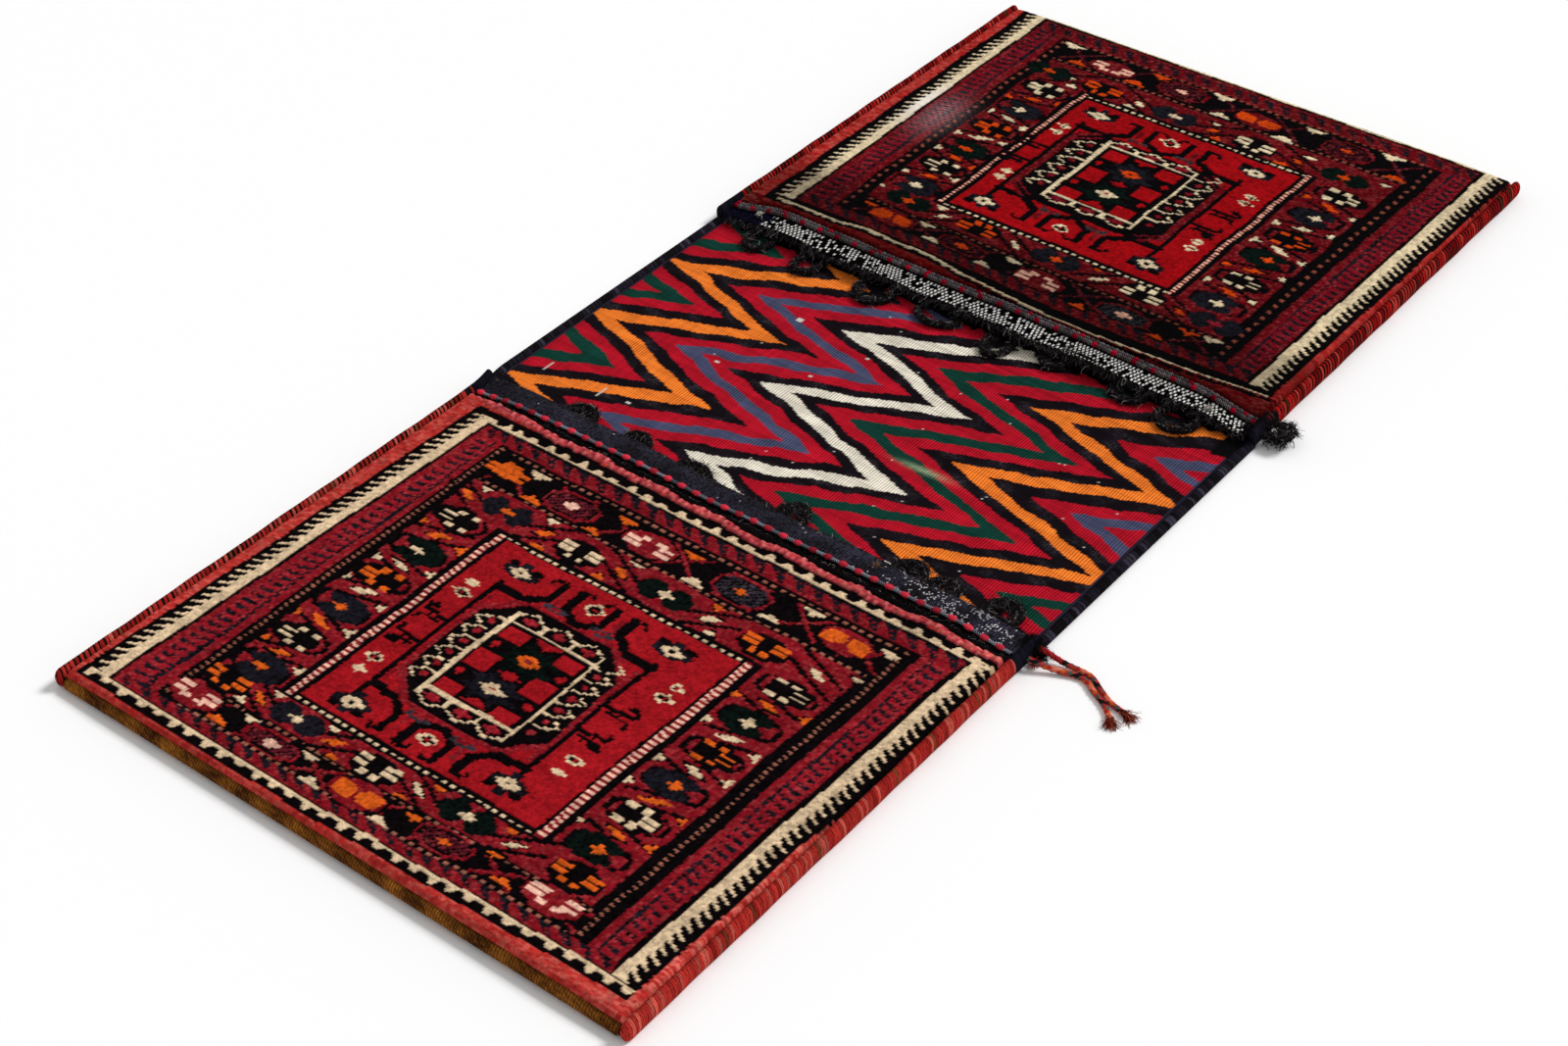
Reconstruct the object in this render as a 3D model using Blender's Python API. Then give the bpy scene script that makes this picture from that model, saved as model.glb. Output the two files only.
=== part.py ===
"""A kilim saddle bag, laid out flat.

One long web is woven in one length. Both ends are folded up onto the strip and sewn at
the sides, which makes two pouches joined by a bridge. Knotted pile covers each pouch
front, wool is wound round every edge, and dark loops close the two mouths.
X runs across the bag, Y along it and Z up from the floor. All sizes are in metres.
"""

import math

import bmesh
import bpy
import numpy as np
from mathutils import Vector

# Overall sizes
BAG_WIDTH = 0.560
BAG_LENGTH = 1.250
CLEAR = 0.0003

# The web, the pile and the pocket that they leave
WEB = 0.003
PILE = 0.005
POCKET_GAP = 0.0062
SEAM_GAP = 0.0048
SEAM_REACH = 0.055

# Wool wound round the edges: a seam holds two cloths, and its wool stands out from both
SEAM_WIDTH = 0.009
SEAM_WRAP = 0.0028
SEAM_HEIGHT = 2 * (WEB + SEAM_WRAP) + SEAM_GAP
SELVEDGE_WIDTH = 0.009
SELVEDGE_HEIGHT = 0.0050
END_ROUNDING = 0.006

# The two pouches: side is -1 for the near one and 1 for the far one, depth runs from the
# fold to the mouth, lift is how far the mouth stands up, lip is the edge that droops,
# inset is the distance from the mouth to the twined line, and bare is the strip of plain
# web between that line and the pile
NEAR = dict(
    side=-1, depth=0.466, lift=0.0045, reach=0.090, lip=0.013, droop=0.0035,
    inset=0.0250, bare=0.0050, twine_width=0.0050, twine_height=0.0030,
)
FAR = dict(
    side=1, depth=0.474, lift=0.0090, reach=0.130, lip=0.013, droop=0.0050,
    inset=0.0155, bare=0.0006, twine_width=0.0080, twine_height=0.0040,
)
PILE_START = 0.0080

# The near pouch is sewn up tighter on its left side, which draws that side in
TUCK = 0.009
TUCK_RAMP = 0.050

# Closure loops: centre across the bag, half the width and how far they reach out
LOOP_CORD = 0.0060
LOOP_TUCK = 0.0060
LOOP_STAND_OFF = 0.0015
NEAR_LOOPS = [
    (-0.177, 0.0130, 0.029),
    (-0.118, 0.0115, 0.028),
    (-0.056, 0.0150, 0.024),
    (0.040, 0.0120, 0.033),
    (0.153, 0.0130, 0.032),
    (0.185, 0.0120, 0.030),
    (0.236, 0.0140, 0.030),
]
FAR_LOOPS = [
    (-0.222, 0.0115, 0.036),
    (-0.165, 0.0115, 0.038),
    (-0.093, 0.0170, 0.040),
    (-0.028, 0.0200, 0.032),
    (0.037, 0.0120, 0.040),
    (0.088, 0.0115, 0.023),
    (0.161, 0.0145, 0.026),
    (0.212, 0.0170, 0.037),
]
CORNER_LOOP_REACH = 0.020
CORNER_LOOP_WIDTH = 0.0125

# The braided tie at the right corner of the near mouth
TIE_CORD = 0.0045
TIE_START = 0.003
TIE_APART = 0.015
TIE_MERGE = 0.041
TIE_RUN = 0.046
TIE_TURN = math.radians(-28)
TIE_SPREAD = 2.7

COLUMNS = 22
PILE_ROWS = 14
NECK_ROWS = 4
LIP_ROWS = 4
FOLD_ROWS = 8
RAMP_ROWS = 10
CORD_POINTS = 22

WEB_HALF = BAG_WIDTH / 2 - SEAM_WIDTH - CLEAR
NEAR_MOUTH = NEAR["depth"] - BAG_LENGTH / 2
FAR_MOUTH = BAG_LENGTH / 2 - FAR["depth"]
ACROSS = [-WEB_HALF * math.cos(math.pi * i / COLUMNS) for i in range(COLUMNS + 1)]


def smooth(t):
    t = min(max(t, 0.0), 1.0)
    return t * t * (3 - 2 * t)


def material(name, colour, roughness):
    made = bpy.data.materials.new(name)
    made.use_nodes = True
    shader = made.node_tree.nodes["Principled BSDF"]
    shader.inputs["Base Color"].default_value = (*colour, 1)
    shader.inputs["Roughness"].default_value = roughness
    shader.inputs["Metallic"].default_value = 0
    return made


def add_object(name, data, finish):
    made = bpy.data.objects.new(name, data)
    data.materials.append(finish)
    bpy.context.collection.objects.link(made)
    return made


# Heights of a pouch front

def fold_radius(x):
    """The radius of the bottom fold's middle surface, small at the seams and wider between them."""
    inward = smooth((WEB_HALF - abs(x)) / SEAM_REACH)
    return (WEB + SEAM_GAP + (POCKET_GAP - SEAM_GAP) * inward) / 2


def face_start(x):
    """How far in from the end of the bag the front leaves the fold."""
    return WEB / 2 + fold_radius(x)


def face_height(pouch, x, s):
    """The height of the front's middle surface at s, the distance from the end of the bag."""
    inward = smooth((WEB_HALF - abs(x)) / SEAM_REACH)
    up = smooth((s - pouch["depth"] + pouch["reach"]) / (pouch["reach"] - pouch["lip"]))
    down = max(0.0, (s - pouch["depth"] + pouch["lip"]) / pouch["lip"]) ** 1.6
    raised = (pouch["lift"] * up - pouch["droop"] * down) * inward
    return WEB / 2 + 2 * fold_radius(x) + raised


def pile_rows(pouch, x):
    """Places along the front from the pile's start to its end, closer together near the mouth."""
    start = face_start(x) + PILE_START
    end = pouch["depth"] - pouch["inset"] - pouch["twine_width"] / 2 - pouch["bare"]
    shares = [i / PILE_ROWS for i in range(PILE_ROWS + 1)]
    return [start + (end - start) * u * (1.6 - 0.6 * u) for u in shares]


def front_rows(pouch, x):
    """Places along the whole front, from the fold to the mouth."""
    depth, lip = pouch["depth"], pouch["lip"]
    piles = pile_rows(pouch, x)
    neck = depth - lip - piles[-1]
    necks = [piles[-1] + neck * i / NECK_ROWS for i in range(1, NECK_ROWS)]
    lips = [depth - lip + lip * i / LIP_ROWS for i in range(LIP_ROWS + 1)]
    return [face_start(x), *piles, *necks, *lips]


def face_point(pouch, x, s, above=0.0):
    """The front's middle surface at x and s, or a point square above it."""
    step = 0.0005
    along_x = face_height(pouch, x + step, s) - face_height(pouch, x - step, s)
    along_s = face_height(pouch, x, s + step) - face_height(pouch, x, s - step)
    normal = Vector((-along_x, -along_s, 2 * step)).normalized()
    height = face_height(pouch, x, s)
    place = Vector((x, s, height)) + normal * above
    return Vector((place.x, pouch["side"] * (BAG_LENGTH / 2 - place.y), place.z))


# Building blocks

def draw_in(mesh):
    """Moves the near pouch's left side in, and all between it and the right side in step."""
    for vertex in mesh.vertices:
        share = smooth((NEAR_MOUTH + TUCK_RAMP / 2 - vertex.co.y) / TUCK_RAMP)
        vertex.co.x += TUCK * share * (0.5 - vertex.co.x / BAG_WIDTH)


def sheet(name, columns, thickness, finish):
    """A closed sheet whose middle surface runs through columns of points."""
    bm = bmesh.new()
    grid = [[bm.verts.new(p) for p in column] for column in columns]
    for left, right in zip(grid, grid[1:]):
        for a, b, c, d in zip(left, right, right[1:], left[1:]):
            bm.faces.new((a, b, c, d))
    bmesh.ops.recalc_face_normals(bm, faces=bm.faces)
    mesh = bpy.data.meshes.new(name)
    bm.to_mesh(mesh)
    bm.free()
    draw_in(mesh)
    made = add_object(name, mesh, finish)
    thicken = made.modifiers.new("thickness", "SOLIDIFY")
    thicken.thickness = thickness
    thicken.offset = 0
    mesh.shade_smooth()
    return made


def bar(name, stations, width, height, finish, sides=12):
    """A rod of oval section through (centre, share of the full section) stations."""
    bm = bmesh.new()
    rings = []
    run = (Vector(stations[-1][0]) - Vector(stations[0][0])).normalized()
    across = Vector((run.y, -run.x, 0)).normalized()
    for centre, share in stations:
        turns = [2 * math.pi * k / sides for k in range(sides)]
        points = [
            Vector(centre)
            + across * (math.cos(t) * width / 2 * share)
            + Vector((0, 0, math.sin(t) * height / 2 * share))
            for t in turns
        ]
        rings.append([bm.verts.new(p) for p in points])
    for ring in rings:
        for a, b in zip(ring, ring[1:] + ring[:1]):
            bm.edges.new((a, b))
    edges = [
        [bm.edges.get((a, b)) for a, b in zip(ring, ring[1:] + ring[:1])]
        for ring in rings
    ]
    for one, two in zip(edges, edges[1:]):
        bmesh.ops.bridge_loops(bm, edges=one + two)
    bm.faces.new(rings[0])
    bm.faces.new(rings[-1])
    bmesh.ops.recalc_face_normals(bm, faces=bm.faces)
    mesh = bpy.data.meshes.new(name)
    bm.to_mesh(mesh)
    bm.free()
    draw_in(mesh)
    mesh.shade_smooth()
    return add_object(name, mesh, finish)


def smooth_route(guides, count):
    """Points evenly spread along a smooth curve through the guides."""
    guides = [Vector(g) for g in guides]
    guides = [2 * guides[0] - guides[1], *guides, 2 * guides[-1] - guides[-2]]
    fine = []
    for a, b, c, d in zip(guides, guides[1:], guides[2:], guides[3:]):
        for k in range(24):
            t = k / 24
            fine.append(
                0.5 * (2 * b + (c - a) * t + (2 * a - 5 * b + 4 * c - d) * t**2
                       + (3 * b - a - 3 * c + d) * t**3)
            )
    fine = np.array([*fine, guides[-2]])
    along = np.concatenate([[0], np.cumsum(np.linalg.norm(np.diff(fine, axis=0), axis=1))])
    at = np.linspace(0, along[-1], count)
    return [Vector([np.interp(u, along, fine[:, k]) for k in range(3)]) for u in at]


def cord(name, route, diameter, finish):
    """A round cord along a route, with closed ends."""
    curve = bpy.data.curves.new(name, "CURVE")
    curve.dimensions = "3D"
    spline = curve.splines.new("POLY")
    spline.points.add(len(route) - 1)
    for point, place in zip(spline.points, route):
        point.co = (*place, 1)
    curve.bevel_depth = diameter / 2
    curve.bevel_resolution = 2
    curve.use_fill_caps = True
    return add_object(name, curve, finish)


# The pieces

def make_web(finish):
    """Mouth, front, fold, back, bridge, back, fold, front and mouth, in one folded length."""
    columns = []
    for x in ACROSS:
        start = face_start(x)
        radius = fold_radius(x)

        def front(pouch):
            return [face_point(pouch, x, s) for s in front_rows(pouch, x)[:0:-1]]

        def fold(side):
            turns = [math.pi * (0.5 - i / FOLD_ROWS) for i in range(FOLD_ROWS + 1)]
            return [
                Vector(
                    (
                        x,
                        side * (BAG_LENGTH / 2 - start + radius * math.cos(t)),
                        WEB / 2 + radius + radius * math.sin(t),
                    )
                )
                for t in turns
            ]

        near = front(NEAR) + fold(-1)
        far = front(FAR) + fold(1)
        ramp = [NEAR_MOUTH + TUCK_RAMP * (i / RAMP_ROWS - 0.5) for i in range(RAMP_ROWS + 1)]
        back = [Vector((x, y, near[-1].z)) for y in ramp + [FAR_MOUTH]]
        columns.append(near + back + far[::-1])
    return sheet("web", columns, WEB, finish)


def make_pile(name, pouch, finish):
    """The knotted pile that covers a pouch front, from the fold to the twined line."""
    above = WEB / 2 + CLEAR + PILE / 2
    columns = [
        [face_point(pouch, x, s, above) for s in pile_rows(pouch, x)[:: pouch["side"]]]
        for x in ACROSS
    ]
    return sheet(name, columns, PILE, finish)


def make_twine(name, pouch, finish):
    """The twined line of wool that lies across a front, between pile and mouth."""
    s = pouch["depth"] - pouch["inset"]
    width, height = pouch["twine_width"], pouch["twine_height"]
    above = WEB / 2 + CLEAR + height / 2
    stations = []
    for i, x in enumerate(ACROSS):
        place = face_point(pouch, x, s, above)
        stations.append((place, 0.6 if i in (0, COLUMNS) else 1.0))
    return bar(name, stations, width, height, finish, sides=8)


def edge_bar(name, x, low, high, width, height, finish):
    """Wool wound round an edge between two places along the bag, with rounded ends."""
    ends = ((0, 0.45), (0.35, 0.8), (1, 1.0), (1.8, 1.0), (2.6, 1.0), (3.4, 1.0), (4.2, 1.0))
    places = [(low + inset * END_ROUNDING, share) for inset, share in ends]
    places += [(high - inset * END_ROUNDING, share) for inset, share in ends[::-1]]
    stations = [((x, y, height / 2), share) for y, share in places]
    return bar(name, stations, width, height, finish)


def loop_route(pouch, centre, half, reach):
    """A closure loop on the web, which begins under the mouth where the cord fits there."""
    z = WEB + CLEAR + LOOP_CORD / 2
    underside = face_height(pouch, abs(centre) + half, pouch["depth"]) - WEB / 2
    fits = underside - WEB >= LOOP_CORD + CLEAR
    tuck = LOOP_TUCK if fits else -LOOP_STAND_OFF
    outward = -pouch["side"]
    base = -outward * (BAG_LENGTH / 2 - pouch["depth"] + tuck)
    shape = (
        (-0.75, 0.0),
        (-0.95, 0.35),
        (-0.90, 0.72),
        (0.0, 1.0),
        (0.90, 0.72),
        (0.95, 0.35),
        (0.75, 0.0),
    )
    guides = [
        (centre + a * half, base + outward * b * (reach - LOOP_CORD / 2), z)
        for a, b in shape
    ]
    return smooth_route(guides, CORD_POINTS)


for old in list(bpy.data.objects):
    bpy.data.objects.remove(old, do_unlink=True)

flat_weave = material("flat_weave", (0.12, 0.03, 0.035), 0.95)
pile_wool = material("pile_wool", (0.30, 0.02, 0.03), 0.95)
seam_wool = material("seam_wool", (0.16, 0.02, 0.02), 0.95)
goat_hair = material("goat_hair", (0.012, 0.010, 0.010), 0.9)
tie_wool = material("tie_wool", (0.30, 0.06, 0.04), 0.95)

make_web(flat_weave)
make_pile("near_pile", NEAR, pile_wool)
make_pile("far_pile", FAR, pile_wool)
make_twine("near_twining", NEAR, seam_wool)
make_twine("far_twining", FAR, seam_wool)

for hand, side in (("left", -1), ("right", 1)):
    x = side * (BAG_WIDTH - SEAM_WIDTH) / 2
    end = BAG_LENGTH / 2
    edge_bar(f"near_seam_{hand}", x, -end, NEAR_MOUTH, SEAM_WIDTH, SEAM_HEIGHT, seam_wool)
    edge_bar(f"far_seam_{hand}", x, FAR_MOUTH, end, SEAM_WIDTH, SEAM_HEIGHT, seam_wool)
    edge_bar(
        f"bridge_selvedge_{hand}", x, NEAR_MOUTH + CLEAR, FAR_MOUTH - CLEAR,
        SELVEDGE_WIDTH, SELVEDGE_HEIGHT, goat_hair,
    )

for number, size in enumerate(NEAR_LOOPS, 1):
    cord(f"near_loop_{number}", loop_route(NEAR, *size), LOOP_CORD, goat_hair)
for number, size in enumerate(FAR_LOOPS, 1):
    cord(f"far_loop_{number}", loop_route(FAR, *size), LOOP_CORD, goat_hair)

# The last loop of the far mouth stands out sideways from the corner
corner_x = BAG_WIDTH / 2 + CLEAR
corner_y = FAR_MOUTH + 0.019
corner_shape = (
    (0.0, -0.75, 0.0080),
    (0.20, -0.78, 0.0083),
    (0.72, -0.80, 0.0102),
    (1.0, 0.0, 0.0110),
    (0.72, 0.80, 0.0102),
    (0.20, 0.78, 0.0083),
    (0.0, 0.75, 0.0080),
)
corner_guides = [
    (corner_x + CLEAR + out * CORNER_LOOP_REACH, corner_y + along * CORNER_LOOP_WIDTH, z)
    for out, along, z in corner_shape
]
cord("far_loop_9", smooth_route(corner_guides, CORD_POINTS), LOOP_CORD, goat_hair)

# Two strands leave the near corner apart, meet, and lie side by side to their tips
rest = TIE_CORD / 2
beside = (TIE_CORD + CLEAR) / 2
meet = Vector((corner_x + TIE_MERGE, NEAR_MOUTH - TIE_START, rest))
ahead = Vector((math.cos(TIE_TURN), math.sin(TIE_TURN), 0))
square = Vector((-ahead.y, ahead.x, 0))
for name, side, start_y in (("tie_upper", 1, TIE_START), ("tie_lower", -1, TIE_START + TIE_APART)):
    start = Vector((corner_x, NEAR_MOUTH - start_y, SEAM_HEIGHT / 2))
    apart = side * beside * square
    middle = start.lerp(meet + 1.3 * apart, 0.5)
    middle.z = rest + 0.0015
    guides = [
        start,
        start + Vector((TIE_CORD, 0, 0)),
        middle,
        meet + 1.3 * apart,
        meet + ahead * TIE_RUN * 0.35 + 1.1 * apart,
        meet + ahead * TIE_RUN * 0.7 + 1.15 * apart,
        meet + ahead * TIE_RUN + TIE_SPREAD * apart,
    ]
    cord(name, smooth_route(guides, CORD_POINTS), TIE_CORD, tie_wool)
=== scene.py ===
# %% [markdown]
# # A kilim saddle bag
#
# The bag is one long strip of cloth. Both ends are folded up to make two pouches, and the
# part between them is a bridge that hangs over the animal's back. The pouch fronts carry
# knotted pile, the bridge a flat weave of zigzags, and every edge is wound with wool.
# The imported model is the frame: each piece below is placed by the same measures, in metres.

import math

import bmesh
import bpy
import numpy as np
from mathutils import Matrix, Vector


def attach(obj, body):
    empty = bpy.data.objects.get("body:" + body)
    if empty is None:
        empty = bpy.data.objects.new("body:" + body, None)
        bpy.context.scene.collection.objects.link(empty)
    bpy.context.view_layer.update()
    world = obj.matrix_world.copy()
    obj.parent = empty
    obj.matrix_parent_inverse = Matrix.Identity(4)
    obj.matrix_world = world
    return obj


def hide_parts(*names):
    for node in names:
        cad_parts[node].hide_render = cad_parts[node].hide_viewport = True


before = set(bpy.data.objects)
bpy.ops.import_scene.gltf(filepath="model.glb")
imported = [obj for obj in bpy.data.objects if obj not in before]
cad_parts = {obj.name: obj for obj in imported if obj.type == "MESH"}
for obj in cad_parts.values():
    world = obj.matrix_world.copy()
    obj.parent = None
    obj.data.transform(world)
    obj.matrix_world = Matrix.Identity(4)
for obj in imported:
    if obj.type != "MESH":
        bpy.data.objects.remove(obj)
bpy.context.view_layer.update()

# %% [markdown]
# The camera looks down on the bag from one corner, as in the picture. Its place, its turn
# and its lens were worked out from the four outer corners of the bag, so a point of the
# model falls where the same point falls in the picture.

# %% Camera
EYE = Vector((1.0465, -1.4248, 1.3273))
LOOK = Vector((-0.48190, 0.60600, -0.63288))
RIGHT = Vector((0.78753, 0.61620, -0.00963))
LENS = 61.66


def place_camera():
    data = bpy.data.cameras.new("camera")
    data.lens, data.sensor_width = LENS, 36.0
    camera = bpy.data.objects.new("camera", data)
    bpy.context.scene.collection.objects.link(camera)
    turn = Matrix((RIGHT, RIGHT.cross(LOOK), -LOOK)).transposed().to_4x4()
    camera.matrix_world = Matrix.Translation(EYE) @ turn
    bpy.context.scene.camera = camera
    print("camera at", [round(v, 3) for v in EYE], "lens", LENS)


place_camera()

# %% [markdown]
# The same measures as in the part: the cloth, the pouches and the wound edges. The height
# of a pouch front is worked out as the part does, but for whole arrays of points at once.
# On top of that comes a slow swell, because stuffed and folded wool never lies quite flat.

# %% Measures shared with the part
WIDTH, LENGTH, CLEAR, WEB, PILE = 0.560, 1.250, 0.0003, 0.003, 0.005
TUCK, TUCK_RAMP = 0.009, 0.050
POCKET_GAP, SEAM_GAP, SEAM_REACH = 0.0062, 0.0048, 0.055
SEAM_WIDTH, SEAM_HEIGHT, SELVEDGE_WIDTH, SELVEDGE_HEIGHT = 0.009, 0.0164, 0.009, 0.0050
WEB_HALF = WIDTH / 2 - SEAM_WIDTH - CLEAR
NEAR = dict(
    name="near", side=-1, depth=0.466, lift=0.0045, reach=0.090, lip=0.013, droop=0.0035,
    inset=0.0250, bare=0.0050, twine=0.0050, pile=0.0052,
)
FAR = dict(
    name="far", side=1, depth=0.474, lift=0.0090, reach=0.130, lip=0.013, droop=0.0050,
    inset=0.0155, bare=0.0006, twine=0.0080, pile=0.0040,
)


def smooth(t):
    t = np.clip(t, 0, 1)
    return t * t * (3 - 2 * t)


def inward(x):
    """0 at the cloth's two sides and 1 beyond the reach of the seams."""
    return smooth((WEB_HALF - np.abs(x)) / SEAM_REACH)


def fold_radius(x):
    """Radius of the middle of the cloth round the fold, tighter at the seams."""
    return (WEB + SEAM_GAP + (POCKET_GAP - SEAM_GAP) * inward(x)) / 2


def ripple(x, y, size, seed):
    """A slow, uneven wave between about -1 and 1, for points in the same unit as size."""
    random = np.random.default_rng(seed)
    total = 0
    for _ in range(6):
        turn, phase = random.uniform(0, math.tau, 2)
        pitch = size * random.uniform(0.7, 1.5)
        total = total + np.sin(math.tau * (x * math.cos(turn) + y * math.sin(turn)) / pitch + phase)
    return total / 3.2


def swell(pouch, x, s):
    """How much the cloth rises and falls by itself."""
    wave = 0.0010 * ripple(x, s, 0.17, 3 + pouch["side"]) + 0.0005 * ripple(x, s, 0.07, 8 + pouch["side"])
    return wave * inward(x) * smooth(s / 0.06)


def face_height(pouch, x, s):
    """Height of the middle of the front cloth, s measured from the fold."""
    up = smooth((s - pouch["depth"] + pouch["reach"]) / (pouch["reach"] - pouch["lip"]))
    down = np.clip((s - pouch["depth"] + pouch["lip"]) / pouch["lip"], 0, None) ** 1.6
    stand = (pouch["lift"] * up - pouch["droop"] * down) * inward(x)
    return WEB / 2 + 2 * fold_radius(x) + stand + swell(pouch, x, s)


def face_y(pouch, s):
    return pouch["side"] * (LENGTH / 2 - s)


NEAR_MOUTH, FAR_MOUTH = face_y(NEAR, NEAR["depth"]), face_y(FAR, FAR["depth"])


def draw_in(points):
    """Moves the near pouch's left side in, and all between it and the right side in step."""
    share = smooth((NEAR_MOUTH + TUCK_RAMP / 2 - points[:, 1]) / TUCK_RAMP)
    points[:, 0] += TUCK * share * (0.5 - points[:, 0] / WIDTH)
    return points


print("near mouth at y", NEAR_MOUTH, "far mouth at y", FAR_MOUTH)

# %% [markdown]
# Colours are written as they look, from 0 to 255, and turned into the linear values that
# Blender's shaders use. Each pouch has its own card of dyed wools. The near card is lighter and
# pinker and the far one deeper red, and that difference is painted sheen and shade: pile looks
# lighter seen along its lean, as on the near pouch, and darker seen against it, as on the far one.

# %% Dyed wools
def dye(red, green, blue):
    parts = np.array([red, green, blue]) / 255
    return tuple(np.where(parts <= 0.04045, parts / 12.92, ((parts + 0.055) / 1.055) ** 2.4))


NEAR_WOOL = dict(
    red=dye(156, 20, 28), side=dye(176, 44, 40), black=dye(9, 5, 7), ivory=dye(217, 189, 153),
    orange=dye(212, 90, 26), green=dye(7, 16, 13), slate=dye(23, 21, 28), pink=dye(236, 184, 162),
    ground=dye(124, 16, 27), purple=dye(88, 20, 32), rope=dye(150, 92, 74), ridge=dye(188, 58, 68),
    magenta=dye(140, 22, 34), ash=dye(50, 44, 52),
)
FAR_WOOL = dict(
    red=dye(150, 8, 15), side=dye(160, 30, 28), black=dye(7, 4, 6), ivory=dye(216, 196, 160),
    orange=dye(198, 64, 12), green=dye(5, 17, 13), slate=dye(20, 20, 27), pink=dye(232, 176, 152),
    ground=dye(92, 5, 13), purple=dye(62, 8, 18), rope=dye(130, 66, 52), ridge=dye(100, 1, 6),
    magenta=dye(114, 8, 24), ash=dye(46, 44, 48),
)
BRIDGE_WOOL = dict(
    orange=dye(240, 124, 44), black=dye(20, 14, 19), red=dye(176, 20, 38), blue=dye(72, 76, 104),
    ivory=dye(231, 222, 204), green=dye(16, 58, 48), slate=dye(38, 35, 48), pale=dye(150, 168, 132),
    gold=dye(134, 82, 30), brown=dye(58, 34, 20),
)

# %% [markdown]
# Many finishes here are wool, so the effects that they share are built once as shader node
# groups. One group gives the fine light and dark of single fibres and the slow change of
# tone where a new batch of dye began. The other gives the ribs of a flat weave, and paints
# shade into the grooves between them.

# %% Helpers for shader nodes
def link(tree, source, target):
    tree.links.new(source, target)


def add(tree, kind, settings=None, **inputs):
    """A node with its settings, and its inputs, by name or as n0, n1..., either set or linked."""
    made = tree.nodes.new(kind)
    for key, value in (settings or {}).items():
        setattr(made, key, value)
    for key, value in inputs.items():
        by_number = key[0] == "n" and key[1:].isdigit()
        socket = made.inputs[int(key[1:]) if by_number else key]
        if isinstance(value, bpy.types.NodeSocket):
            link(tree, value, socket)
        else:
            socket.default_value = value
    return made


def new_group(name, takes, gives):
    tree = bpy.data.node_groups.new(name, "ShaderNodeTree")
    for key, kind, value in takes:
        socket = tree.interface.new_socket(name=key, in_out="INPUT", socket_type=kind)
        socket.default_value = value
    for key, kind in gives:
        tree.interface.new_socket(name=key, in_out="OUTPUT", socket_type=kind)
    return tree, tree.nodes.new("NodeGroupInput"), tree.nodes.new("NodeGroupOutput")


def math_node(tree, what, first, second=0.0, third=0.0):
    return add(tree, "ShaderNodeMath", {"operation": what}, n0=first, n1=second, n2=third).outputs[0]


# %% Fibres and batches of dye
def build_fibre_tone():
    tree, takes, gives = new_group(
        "fibre_tone",
        [("Color", "NodeSocketColor", (0.5, 0.5, 0.5, 1)), ("Fibre", "NodeSocketFloat", 0.3),
         ("Batch", "NodeSocketFloat", 0.15), ("Size", "NodeSocketFloat", 900.0)],
        [("Color", "NodeSocketColor"), ("Height", "NodeSocketFloat"), ("Roughness", "NodeSocketFloat")],
    )
    where = tree.nodes.new("ShaderNodeTexCoord").outputs["Object"]
    fine = add(tree, "ShaderNodeTexNoise", Vector=where, Scale=takes.outputs["Size"], Detail=2.0, Roughness=0.6)
    slow = add(tree, "ShaderNodeTexNoise", Vector=where, Scale=22.0, Detail=3.0, Roughness=0.55)
    fine_tone = math_node(tree, "MULTIPLY", math_node(tree, "SUBTRACT", fine.outputs[0], 0.5), takes.outputs["Fibre"])
    slow_tone = math_node(tree, "MULTIPLY", math_node(tree, "SUBTRACT", slow.outputs[0], 0.5), takes.outputs["Batch"])
    tone = math_node(tree, "MULTIPLY_ADD", math_node(tree, "ADD", fine_tone, slow_tone), 2.0, 1.0)
    bright = add(tree, "ShaderNodeVectorMath", {"operation": "SCALE"}, n0=takes.outputs["Color"], Scale=tone)
    link(tree, bright.outputs[0], gives.inputs["Color"])
    link(tree, fine.outputs[0], gives.inputs["Height"])
    link(tree, math_node(tree, "MULTIPLY_ADD", slow.outputs[0], 0.16, 0.80), gives.inputs["Roughness"])
    return tree


fibre_tone = build_fibre_tone()


# %% Ribs of a flat weave
def build_rib_weave():
    """Warps run along Y under the weft, so the cloth is ribbed, and each weft bends over them; the grooves get painted
    shade.
    """
    tree, takes, gives = new_group(
        "rib_weave",
        [("Warp", "NodeSocketFloat", 0.0024), ("Weft", "NodeSocketFloat", 0.0011), ("Depth", "NodeSocketFloat", 0.25)],
        [("Height", "NodeSocketFloat"), ("GrooveShade", "NodeSocketFloat")],
    )
    where = tree.nodes.new("ShaderNodeTexCoord").outputs["Object"]
    bent = add(tree, "ShaderNodeTexNoise", Vector=where, Scale=14.0, Detail=1.0)
    parts = add(tree, "ShaderNodeSeparateXYZ", n0=where)
    along = math_node(tree, "ADD", parts.outputs["X"], math_node(tree, "MULTIPLY", bent.outputs[0], 0.006))
    across = math_node(tree, "DIVIDE", along, takes.outputs["Warp"])
    rib = math_node(tree, "ABSOLUTE", math_node(tree, "SINE", math_node(tree, "MULTIPLY", across, math.pi)))
    odd = math_node(tree, "MULTIPLY", math_node(tree, "FLOOR", across), 0.5)
    row = math_node(tree, "ADD", math_node(tree, "DIVIDE", parts.outputs["Y"], takes.outputs["Weft"]), odd)
    beat = math_node(tree, "ABSOLUTE", math_node(tree, "SINE", math_node(tree, "MULTIPLY", row, math.pi)))
    height = math_node(tree, "MULTIPLY_ADD", beat, 0.35, rib)
    # Painted shade: the colour is scaled down where the ribs and the wefts are low
    tone = math_node(tree, "MULTIPLY_ADD", math_node(tree, "SUBTRACT", height, 1.0), takes.outputs["Depth"], 1.0)
    link(tree, height, gives.inputs["Height"])
    link(tree, tone, gives.inputs["GrooveShade"])
    return tree


rib_weave = build_rib_weave()


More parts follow.
